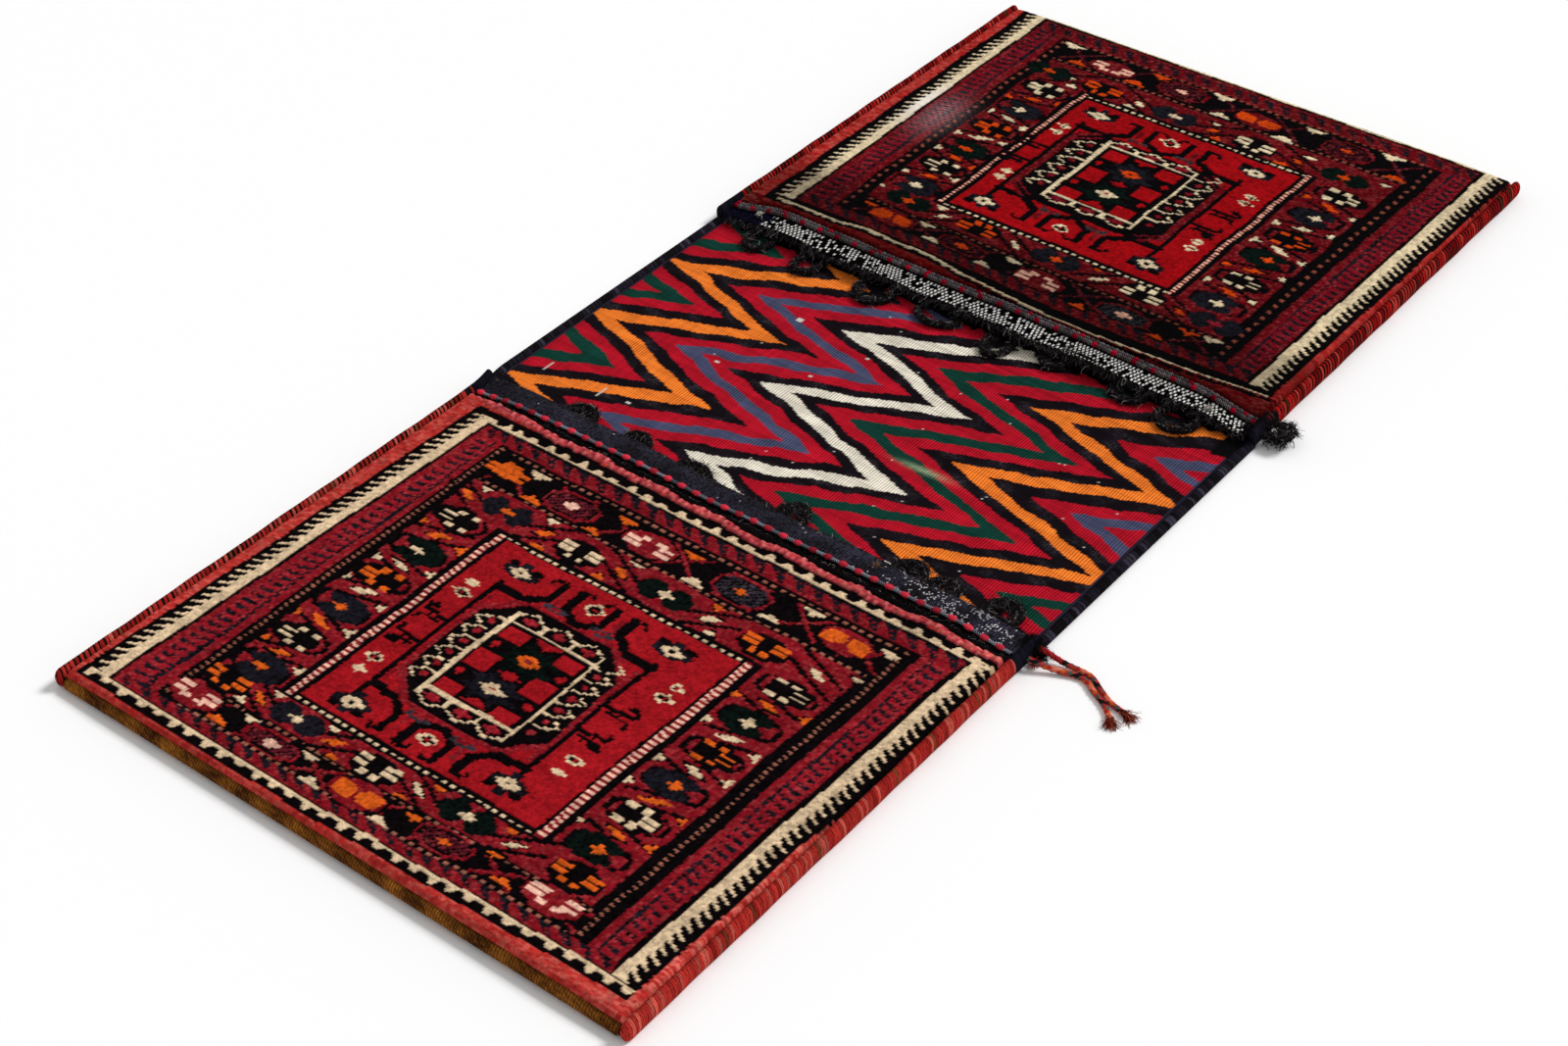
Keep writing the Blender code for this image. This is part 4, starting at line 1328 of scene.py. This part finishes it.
def bridge_colours(x, y, seed):
    """The zigzags with uneven weft and warp tones, wear, white specks, and painted shadow at the far end, under the
    far lip.
    """
    random = np.random.default_rng(seed)
    wool = np.where((x < 12.5) | (x > 546.5), BRIDGE_NAMES.index("slate"), zigzag_wools(x, y))
    colours = np.array(list(BRIDGE_WOOL.values()))[wool]
    pass_tone = random.uniform(0.84, 1.16, 4096)[np.floor(y / WEFT_STEP).astype(int) % 4096]
    warp_tone = random.uniform(0.90, 1.10, 4096)[np.floor(x / WARP_STEP).astype(int) % 4096]
    colours = colours * (pass_tone * warp_tone * (1 + 0.10 * ripple(x, y * 2, 34, seed)))[:, None]
    black = (wool == BRIDGE_NAMES.index("black"))[:, None]
    worn = np.clip(ripple(x, y, 26, seed + 1), 0, 1)[:, None] * random.uniform(0, 1, len(x))[:, None] ** 2
    colours = colours + (np.array(dye(72, 66, 74)) - colours) * worn * black * 0.6
    pale = np.exp(-(((x - 366) / 20) ** 2) - ((y - 581 - 0.05 * (x - 366)) / 3.4) ** 2)[:, None] * 0.85
    colours = colours + (np.array(BRIDGE_WOOL["pale"]) - colours) * pale * (1 + 0.3 * ripple(x, y, 5, 9)[:, None])
    specks = [(160, 686, 3.0, 2.0), (142, 596, 2.0, 1.5), (120, 507, 2.4, 1.6), (217, 627, 1.6, 1.6),
              (240, 675, 1.6, 1.2), (34, 506, 0.9, 7), (93, 505, 0.9, 7), (411, 470, 4, 3)]
    specks += [(random.uniform(60, 540), random.uniform(470, 760), 0.7, 0.7) for _ in range(30)]
    for px, py, w, h in specks:
        colours[(np.abs(x - px) < w) & (np.abs(y - py) < h)] = dye(214, 208, 200)
    # Painted shadow: near-black under the far lip, and further out at the right corner
    lip_shadow_edge = y + 1.8 * ripple(x, y, 9, 45) + 1.4 * ripple(x, y, 31, 46)
    colours[(lip_shadow_edge > 766) | ((x > 534) & (lip_shadow_edge > 740))] = dye(11, 9, 11)
    return np.clip(colours, 0, 1)


def build_bridge():
    y0, y1 = NEAR_MOUTH - 0.006, FAR_MOUTH + 0.022
    mesh, u, v = grid_mesh("bridge_face", 372, 258)
    x, y = (2 * u - 1) * (WEB_HALF - 0.0002), y0 + v * (y1 - y0)
    edge = smooth((WEB_HALF - np.abs(x)) / 0.02)
    z = WEB + 0.00035 + edge * (0.00025 + 0.00025 * ripple(x, y, 0.13, 51))
    points = draw_in(np.stack([x, y, z], axis=1))
    a, b = plan(points)
    set_points(mesh, points, bridge_colours(a, b, 61))
    print("bridge quads", len(mesh.polygons))
    finish_piece("bridge_face", mesh, flat_wool, "flat_weave", "web")


build_bridge()

# %% [markdown]
# Between the pile and each mouth's edge the web shows again as a narrow lip. The near lip
# is slate blue with pale warps showing at its right end. The far lip hangs forward and is
# speckled black and white in a twill. Each lip is a fine grid that turns over the edge.

# %% The two lips
def near_lip_colours(x, s_left, seed):
    """Slate blue, with pale warps in a checkered twill at the right end."""
    random = np.random.default_rng(seed)
    table = random.uniform(0.35, 1.65, (600, 60))
    column, row = np.floor(x / 1.5).astype(int), np.floor(s_left / 0.0015).astype(int)
    blue = np.clip(0.5 + 0.5 * ripple(x, s_left * 1000, 40, seed), 0, 1)[:, None]
    colours = np.array(dye(27, 25, 30)) * (1 - blue) + np.array(dye(46, 44, 56)) * blue
    colours = colours * table[column % 600, row % 60][:, None]
    chance = random.uniform(0, 1, (600, 60))[column % 600, row % 60]
    share = np.clip((x - 400) / 90, 0, 0.50) * np.clip(0.6 + 0.8 * ripple(x, s_left * 1000, 16, 4), 0, 1.2)
    colours = colours * (0.65 + 0.6 * np.abs(np.sin(math.pi * x / 1.7)))[:, None]
    dot = (np.abs(np.mod(x / 1.5, 1) - 0.5) < 0.36) & (np.abs(np.mod(s_left / 0.0015, 1) - 0.5) < 0.40)
    pale = ((column + row) % 2 == 0) & (share > chance) & (x < 535)
    colours[dot & (pale | (chance < 0.002))] = np.array(dye(206, 202, 204))
    return colours


def far_lip_colours(x, s_left, seed):
    """Black, with white dashes whose rows step sideways as in a twill."""
    random = np.random.default_rng(seed)
    row = np.floor(s_left / 0.0024).astype(int)
    place = x / 3.9 + row * (0.5 + 0.22 * np.sin(x / 33 + 0.8)) + 0.06 * np.sin(x / 9)
    dash = np.abs(np.mod(place, 1) - 0.5) < 0.25
    tall = np.abs(np.mod(s_left / 0.0024, 1) - 0.5) < 0.38
    whole = random.uniform(0, 1, (600, 40))[np.floor(place).astype(int) % 600, row % 40]
    share = np.interp(x, [36, 46, 92, 108, 122, 135, 470, 500, 515, 536, 540],
                      [0, 0.75, 0.82, 0.45, 0.45, 0.86, 0.88, 0.7, 0.8, 0.7, 0])
    edge = -0.0010 + 0.0016 * ripple(x, 0 * x, 38, seed + 3)
    share = share * (s_left < 0.0118) * (s_left > edge) * (0.94 + 0.14 * ripple(x, s_left * 1000, 24, seed + 1))
    white = (dash & tall & (whole < share))[:, None]
    tone = random.uniform(0.85, 1.1, (600, 40))[np.floor(place).astype(int) % 600, row % 40][:, None]
    colours = np.where(white, np.array(dye(254, 251, 245)) * tone, np.array(dye(6, 5, 7)))
    navy = ((x < 45) & (random.uniform(0, 1, len(x)) < 0.10))[:, None]
    return np.where(navy, np.array(dye(34, 38, 88)), colours)


def lip_face(pouch, name, paint, seed):
    """A strip from the twined line to the mouth's edge, then down over the edge."""
    s0 = pouch["depth"] - pouch["inset"] + pouch["twine"] / 2 - 0.0012
    skin = WEB / 2 + 0.0005
    top_rows, turn_rows = 22, 6
    rows = top_rows + turn_rows
    mesh, u, v = grid_mesh(name, 1080, rows)
    place = np.round((v if pouch["side"] < 0 else 1 - v) * rows)
    x = (2 * u - 1) * (WEB_HALF - 0.0002)
    s = s0 + np.clip(place / top_rows, 0, 1) * (pouch["depth"] - s0)
    over = np.clip((place - top_rows) / turn_rows, 0, 1) * math.pi * 0.62
    fine = np.random.default_rng(seed).uniform(-1, 1, len(x)) * 0.00012
    z = face_height(pouch, x, s) + skin * np.cos(over) + fine
    wander = 0.0009 * ripple(x, s * 0, 0.09, seed) * smooth(place / top_rows)
    y = face_y(pouch, s + skin * np.sin(over) + wander)
    points = draw_in(np.stack([x, y, z], axis=1))
    left = pouch["depth"] - s + 0.0013 - skin * over
    set_points(mesh, points, np.clip(paint(plan(points)[0], left, seed), 0, 1))
    print(name, "quads", len(mesh.polygons))
    finish_piece(name, mesh, flat_wool, "flat_weave", "web")


lip_face(NEAR, "near_lip", near_lip_colours, 71)
lip_face(FAR, "far_lip", far_lip_colours, 72)

# %% [markdown]
# A twined line locks the last row of pile at each mouth. In twining, two strands cross
# over each other between the warps, so one colour shows, then the other. The near line is
# thin, with red dashes on slate. The far one is two thick plied rows of grey and black.

# %% Twined lines
def line_route(pouch, s, lift):
    """Across the front of a pouch, s from its fold and lift over the cloth."""
    xs = np.linspace(-WEB_HALF + 0.001, WEB_HALF - 0.001, 60)
    ys = np.full(len(xs), face_y(pouch, s))
    return draw_in(np.stack([xs, ys, face_height(pouch, xs, s) + WEB / 2 + lift], axis=1))


def beaded(wide, high, bead, every, thin, seed):
    """Each crossing of the strands is a bead, and those of the plied yarn can be thinner."""
    def shape(_, gone):
        full = np.where(np.floor(gone / bead) % every == 0, 1.0, thin)
        bulge = np.abs(np.sin(math.pi * gone / bead)) * full
        uneven = 1 + 0.08 * np.sin(gone * 700 + seed) * np.sin(gone * 330)
        return wide / 2 * (0.62 + 0.42 * bulge) * uneven, high / 2 * (0.60 + 0.44 * bulge) * uneven
    return shape


def bead_paint(first, second, bead, every, seed):
    """One bead in every so many shows the first wool, and the rest a dark plied yarn; both get painted highlights
    along the plies.
    """
    def paint(angle, gone):
        random = np.random.default_rng(seed)
        number = np.floor(gone / bead).astype(int)
        ply_highlight = 0.5 + 0.5 * np.sin(gone * 3800 + 2.2 * angle)
        tone = random.uniform(0.45, 1.45, 512)[number % 512]
        on = number % every == 0
        # Painted highlights: thin bright streaks wind along the plies and over the red beads
        light = np.where(on, 0.62 + 0.65 * ply_highlight**2, 0.06 + 2.6 * ply_highlight**4)
        return np.where(on[:, None], np.array(first), np.array(second)) * (light * tone)[:, None]
    return paint


def twined_line(pouch, name, shift, wide, high, bead, every, thin, first, second, seed):
    route = line_route(pouch, pouch["depth"] - pouch["inset"] + shift, CLEAR + high / 2)
    shape = beaded(wide, high, bead, every, thin, seed)
    mesh = rolled_tube(name, route, 16, 900, shape, bead_paint(first, second, bead, every, seed))
    finish_piece(name, mesh, wound_wool, "goat_hair", pouch["name"] + "_twining")
    print(name, "every", every, "beads one is red")


NEAR_RED, NEAR_GREY, FAR_RED, FAR_GREY = dye(204, 50, 68), dye(112, 112, 122), dye(150, 12, 38), dye(88, 80, 82)
twined_line(NEAR, "near_twined_line", 0, 0.0054, 0.0038, 0.0072, 2, -0.1, NEAR_RED, NEAR_GREY, 5)
for i, shift, every in ((1, -0.0020, 11), (2, 0.0020, 4)):
    twined_line(FAR, f"far_twined_line_{i}", shift, 0.0044, 0.0046, 0.0048, every, 0.9, FAR_RED, FAR_GREY, 6 + i)

# %% [markdown]
# Every side is overcast: wool goes round and round the edges of both cloths and pulls them
# into a firm, ribbed rim. Each turn slants, and its colour changes as a new thread starts.
# The bridge has the same wool in slate, round a single cloth, so its rim is thinner.

# %% Wound seams
def wound(wide, high, turn, ends, length):
    """An oval rim with a rib for each turn of wool, rounded at its free end."""
    def shape(angle, gone):
        rib = np.abs(np.sin(math.pi * (gone / turn + angle / math.tau)))
        close = np.clip((gone if ends == "start" else length - gone) / 0.006, 0, 1)
        taper = 0.35 + 0.65 * np.sqrt(1 - (1 - close) ** 2)
        slack = 1 + 0.03 * np.sin(gone * 60) + 0.02 * np.sin(gone * 143 + 1)
        size = (0.90 + 0.10 * rib) * taper * slack
        return wide / 2 * size, high / 2 * size
    return shape


def wound_paint(wools, shares, turn, dark, seed, mouth=-1.0):
    """Turns of wool take their dye from wools by shares. dark is how much of each turn a dark
    thread covers, and the turns close to the mouth, a place on the route, are of navy wool."""
    def paint(angle, gone):
        random = np.random.default_rng(seed)

        def per_turn(low, high):
            return random.uniform(low, high, 2048)[number % 2048]

        turns = gone / turn + 0.30 * np.cos(angle) + 0.25 * np.sin(gone * 95)
        number = np.floor(turns).astype(int)
        pick = random.choice(len(wools), 2048, p=shares)
        colours = np.array(wools)[pick[number % 2048]]
        thread = np.mod(turns, 1) < dark * per_turn(0.5, 1.35)
        colours = np.where(thread[:, None], np.array(dye(20, 15, 12)), colours)
        if mouth >= 0:
            close = np.abs(gone - mouth) + 0.012 * (per_turn(0, 1) - 0.5) < 0.030
            colours = np.where(close[:, None], np.array(dye(24, 22, 32)), colours)
        # Painted shade in the groove between turns of wool
        groove_shade = 0.55 + 0.45 * np.abs(np.sin(2 * math.pi * turns))
        tone = per_turn(0.7, 1.25) * groove_shade * (0.9 + 0.2 * np.sin(gone * 3100 + angle * 9))
        return colours * tone[:, None]
    return paint


def side_route(x, y0, y1, z):
    ys = np.linspace(y0, y1, 100)
    return draw_in(np.stack([np.full(100, x), ys, np.full(100, z)], axis=1))


def wound_selvedge(angle, gone):
    rib = 0.93 + 0.07 * np.abs(np.sin(gone * 1200 + angle / 2))
    return SELVEDGE_WIDTH / 2 * rib, SELVEDGE_HEIGHT / 2 * rib


SEAM_X = (WIDTH - SEAM_WIDTH) / 2
# Each pouch's wools, and how much of a turn the dark thread covers at the left and the right
SEAMS = [
    (NEAR, [dye(186, 50, 43), dye(206, 88, 75), dye(164, 37, 33), dye(134, 62, 38)], {-1: 0.38, 1: 0.12}),
    (FAR, [dye(176, 26, 22), dye(194, 58, 50), dye(132, 12, 16), dye(88, 44, 22)], {-1: 0.45, 1: 0.42}),
]
for hand, side in (("left", -1), ("right", 1)):
    for pouch, wools, threads in SEAMS:
        near, dark = pouch is NEAR, threads[side]
        y0, y1 = sorted((face_y(pouch, pouch["depth"]), pouch["side"] * LENGTH / 2))
        route = side_route(side * SEAM_X, y0, y1, SEAM_HEIGHT / 2)
        shape = wound(SEAM_WIDTH, SEAM_HEIGHT, 0.0022, "start" if near else "end", y1 - y0)
        paint = wound_paint(wools, [0.50, 0.25, 0.21, 0.04], 0.0044 if dark > 0.3 else 0.0031, dark,
                            300 + side + 10 * pouch["side"], y1 - y0 if near else 0.0)
        name = f"{pouch['name']}_seam_{hand}"
        mesh = rolled_tube(name, route, 26, 900, shape, paint)
        finish_piece(name + "_wool", mesh, wound_wool, "seam_wool", name)
    name = f"bridge_selvedge_{hand}"
    route = side_route(side * SEAM_X, NEAR_MOUTH + CLEAR, FAR_MOUTH - CLEAR, SELVEDGE_HEIGHT / 2)
    slates = [dye(34, 31, 42), dye(22, 19, 24), dye(60, 56, 70)]
    paint = wound_paint(slates, [0.55, 0.30, 0.15], 0.0044, 0.25, 400 + side)
    mesh = rolled_tube(name, route, 20, 600, wound_selvedge, paint)
    finish_piece(name + "_wool", mesh, wound_wool, "goat_hair", name)
print("seams 4 selvedges 2")

# %% [markdown]
# Goat hair is coarse and springy, and it won't stay in its yarn. Loose hairs are narrow
# strips: one grid gives two columns of points to every hair, and the faces between hairs
# are deleted. They stand out of the loops, lie over both mouths and fray the tie's tips.

# %% Loose hairs
def hairs(name, slot, material, roots, ways, long, thick, colours, rest, seed, curl=0.7):
    """Strips that start at roots and run along ways, and never go under the height that rest gives."""
    random = np.random.default_rng(seed)
    count = len(roots)
    mesh, u, v = grid_mesh(name, 2 * count - 1, 4)
    column = np.rint(u * (2 * count - 1)).astype(int)
    bm = bmesh.new()
    bm.from_mesh(mesh)
    between = [face for face in bm.faces if min(column[vert.index] for vert in face.verts) % 2]
    bmesh.ops.delete(bm, geom=between, context="FACES_ONLY")
    bm.to_mesh(mesh)
    bm.free()
    hair, edge = column // 2, column % 2 - 0.5
    ways = ways / np.linalg.norm(ways, axis=1, keepdims=True)
    across = np.cross(ways, [0.0, 0.0, 1.0])
    across /= np.linalg.norm(across, axis=1, keepdims=True) + 1e-9
    bend = random.uniform(-curl, curl, count)[hair]
    kink = random.uniform(-0.12, 0.12, count)[hair] * np.sin(7 * v)
    size = (long * random.uniform(0.6, 1.25, count))[hair]
    wide = (thick * random.uniform(0.6, 1.3, count))[hair] * (1 - 0.6 * v)
    points = roots[hair] + ways[hair] * (size * v)[:, None]
    points += across[hair] * (size * (bend * v**2 + kink) + edge * wide)[:, None]
    floor = rest(points) + 0.0002 + 0.0003 * random.random(count)[hair]
    points[:, 2] = np.maximum(points[:, 2] - 0.25 * size * v**2, floor)
    set_points(mesh, points, colours[hair] * (0.7 + 0.5 * v)[:, None])
    finish_piece(name, mesh, material, slot)


def hair_dyes(count, seed, light=0.10):
    """Dark and grey hairs, and a share of light ones."""
    pick = np.random.default_rng(seed).random(count)[:, None]
    grey = np.where(pick < 0.38, HAIR_GREY * 0.8, HAIR_DARK * 0.8)
    return np.where(pick < light, HAIR_LIGHT, grey)


def seen_top(points):
    """The height of the cloth under the points: a pouch's front, or the bridge."""
    x, y = points[:, 0], points[:, 1]
    top = np.full(len(x), WEB)
    for pouch in (NEAR, FAR):
        s = LENGTH / 2 - pouch["side"] * y
        on = s < pouch["depth"] + 0.001
        top = np.where(on, face_height(pouch, x, np.clip(s, 0.03, pouch["depth"])) + WEB / 2, top)
    return np.where(np.abs(x) > WIDTH / 2, 0.0, top)


def round_cord(route, count, spread, seed):
    """Roots on the skin of a cord, and ways that lean along it and out of it."""
    random = np.random.default_rng(seed)
    point, side, over, _ = along_route(route, random.uniform(0.02, 0.98, count))
    turn = random.uniform(-0.3, math.pi + 0.3, count)[:, None]
    out = side * np.cos(turn) + over * np.sin(turn)
    ahead = np.cross(over, side) * random.choice([-1, 1], count)[:, None]
    ways = ahead * random.uniform(0.4, 1.3, (count, 1)) + out * spread * random.uniform(0.3, 1, (count, 1))
    return point + out * LOOP_CORD * 0.42, ways


def loop_middle(route):
    return np.mean([tuple(p) for p in route], axis=0)


roots, ways = [], []
for seed, (name, route) in enumerate(loop_routes.items()):
    count = 700 if name == "far_loop_9" else 220
    found, outward = round_cord(route, count, 0.75, 900 + seed)
    # Every second or third hair lies across the eye of its loop
    inner = slice(0, count, 2 if name == "far_loop_9" else 3)
    jitter = np.random.default_rng(seed).uniform(-0.004, 0.004, found[inner].shape)
    outward[inner] = loop_middle(route) - found[inner] + jitter
    roots.append(found)
    ways.append(outward)
roots, ways = np.concatenate(roots), np.concatenate(ways)
hairs("loop_hairs", "goat_hair", goat_hair, roots, ways, 0.0064, 0.0008, hair_dyes(len(roots), 61), seen_top, 62)

# The mats of hair that fill the loops: how many hairs, how long and how thick
MATS = dict(near=(110, 0.010, 0.0013), far=(46, 0.009, 0.0011), corner=(260, 0.017, 0.0017))
for seed, (name, route) in enumerate(loop_routes.items()):
    count, long, thick = MATS["corner" if name == "far_loop_9" else name.split("_")[0]]
    found, _ = round_cord(route, count, 0.2, 940 + seed)
    across = loop_middle(route) - found + np.random.default_rng(9).uniform(-0.004, 0.004, found.shape)
    hairs(name + "_mat_hairs", "goat_hair", goat_hair, found, across, long, thick,
          hair_dyes(count, 970 + seed, 0.05), seen_top, 990 + seed, 0.3)


def mouth_hairs(name, pouch, start, end, way, count, long, light, seed):
    """Hairs rooted from start to end past the mouth's edge, that lean towards the bridge by way."""
    random = np.random.default_rng(seed)
    x = random.uniform(-WEB_HALF + 0.004, WEB_HALF - 0.004, count)
    s = random.uniform(pouch["depth"] + start, pouch["depth"] + end, count)
    top = face_height(pouch, x, np.clip(s, 0, pouch["depth"])) + WEB / 2 + 0.0003
    found = draw_in(np.stack([x, face_y(pouch, s), top - 2.2 * np.clip(s - pouch["depth"], 0, None)], axis=1))
    aside, lean = random.uniform(-1, 1, count), way + random.uniform(-0.4, 0.4, count)
    ways = np.stack([aside, -pouch["side"] * lean, np.full(count, 0.12)], axis=1)
    dyes = hair_dyes(count, seed + 1, light)
    hairs(name, "goat_hair", goat_hair, found, ways, long, 0.0007, dyes, seen_top, seed + 2)


mouth_hairs("near_strip_hairs", NEAR, -0.0335, -0.0275, 0.0, 900, 0.0050, 0.06, 71)
mouth_hairs("near_edge_hairs", NEAR, -0.004, -0.0005, 0.5, 500, 0.0045, 0.05, 75)
mouth_hairs("far_edge_hairs", FAR, 0.0002, 0.0014, 1.0, 1200, 0.0085, 0.03, 79)
mouth_hairs("far_twine_hairs", FAR, -FAR["inset"] - 0.003, -FAR["inset"] + 0.004, 0.0, 500, 0.0040, 0.30, 83)


def tuft(name, slot, x, y, way, count, long, thick, colour, seed, spread=0.6, size=0.0015, lift=0.0):
    """A few fibres from one place, given in millimetres on the plan."""
    random = np.random.default_rng(seed)
    place = [x / 1000 - PLAN_CORNER[0], y / 1000 - PLAN_CORNER[1], 0.0]
    found = np.array([place] * count) + random.normal(0, size, (count, 3))
    found[:, 2] = seen_top(found) + 0.0008 + lift
    ways = np.array([way] * count) + random.normal(0, spread, (count, 3))
    colours = np.array([dye(*colour)] * count) * random.uniform(0.6, 1.15, (count, 1))
    material = goat_hair if slot == "goat_hair" else tie_wool
    hairs(name, slot, material, found, ways, long, thick, colours, seen_top, seed + 1)


tuft("mouth_tuft_1", "goat_hair", 40, 786, (-0.6, -0.5, 0.2), 26, 0.006, 0.0007, (214, 206, 194), 91)
tuft("mouth_tuft_2", "goat_hair", 505, 779, (0.6, 0.8, 0.2), 22, 0.006, 0.0007, (206, 198, 188), 93)
tuft("mouth_tuft_3", "goat_hair", 551, 812, (0.3, 0.3, 0.2), 24, 0.005, 0.0007, (200, 192, 170), 95)
tuft("mouth_tuft_4", "goat_hair", 412, 455, (0.1, 0.9, 0.2), 18, 0.006, 0.0006, (130, 96, 76), 97)
tuft("far_corner_hairs", "goat_hair", 546, 798, (0.4, -0.6, 0.3), 420, 0.009, 0.0009, (30, 26, 28), 99,
     spread=0.9, size=0.0065, lift=0.001)
tuft("near_corner_hairs", "goat_hair", 552, 462, (0.3, 0.2, 0.3), 620, 0.0055, 0.0010, (20, 16, 18), 101,
     spread=0.9, size=0.0040, lift=0.001)
tuft("corner_bead_1", "tie_wool", 559, 452, (0.1, -0.3, 0.3), 60, 0.0045, 0.0010, (178, 26, 40), 103,
     spread=0.7, size=0.0012, lift=0.0035)
for seed, (name, route) in enumerate(tie_routes.items()):
    tip, ahead = np.array(route[-1]), np.array(route[-1] - route[-2])
    random = np.random.default_rng(200 + seed)
    count = 110
    found = tip + random.normal(0, 0.0010, (count, 3)) - ahead * 0.5
    ways = ahead / np.linalg.norm(ahead) + random.normal(0, 0.28, (count, 3))
    wool = np.array([dye(150, 70, 34), dye(120, 30, 28), dye(40, 24, 22)])[random.integers(0, 3, count)]
    hairs(name + "_tip", "tie_wool", tie_wool, found, ways, 0.011, 0.0007, wool,
          lambda points: np.zeros(len(points)), 210 + seed, 0.4)

# %% [markdown]

# %% [markdown]
# The floor is plain and pale, and takes the bag's soft shadow. The world is white where the
# camera sees it, and lights the bag as a weaker, even sky. A wide sun from one side gives
# the wool its relief.

# %% Floor, light and world
def build_floor():
    bm = bmesh.new()
    bmesh.ops.create_grid(bm, x_segments=1, y_segments=1, size=20.0)
    mesh = bpy.data.meshes.new("floor")
    bm.to_mesh(mesh)
    bm.free()
    material = bpy.data.materials.new("pale_floor")
    material.use_nodes = True
    shader = material.node_tree.nodes["Principled BSDF"]
    shader.inputs["Base Color"].default_value = (0.99, 0.99, 0.99, 1)
    shader.inputs["Roughness"].default_value = 0.9
    mesh.materials.append(material)
    floor = bpy.data.objects.new("floor", mesh)
    bpy.context.scene.collection.objects.link(floor)


def build_world():
    world = bpy.data.worlds.new("studio")
    world.use_nodes = True
    tree = world.node_tree
    tree.nodes.clear()
    seen = tree.nodes.new("ShaderNodeLightPath").outputs["Is Camera Ray"]
    sky = add(tree, "ShaderNodeBackground", Color=(1, 1, 1, 1), Strength=0.50)
    white = add(tree, "ShaderNodeBackground", Color=(1, 1, 1, 1), Strength=1.0)
    mix = add(tree, "ShaderNodeMixShader", n0=seen, n1=sky.outputs[0], n2=white.outputs[0])
    link(tree, mix.outputs[0], tree.nodes.new("ShaderNodeOutputWorld").inputs[0])
    bpy.context.scene.world = world


def build_sun():
    data = bpy.data.lights.new("key", "SUN")
    data.energy, data.angle = 2.3, math.radians(18)
    sun = bpy.data.objects.new("key", data)
    sun.rotation_euler = (math.radians(-38), math.radians(28), 0)
    bpy.context.scene.collection.objects.link(sun)


build_floor()
build_world()
build_sun()
bpy.context.scene.view_settings.view_transform = "Standard"
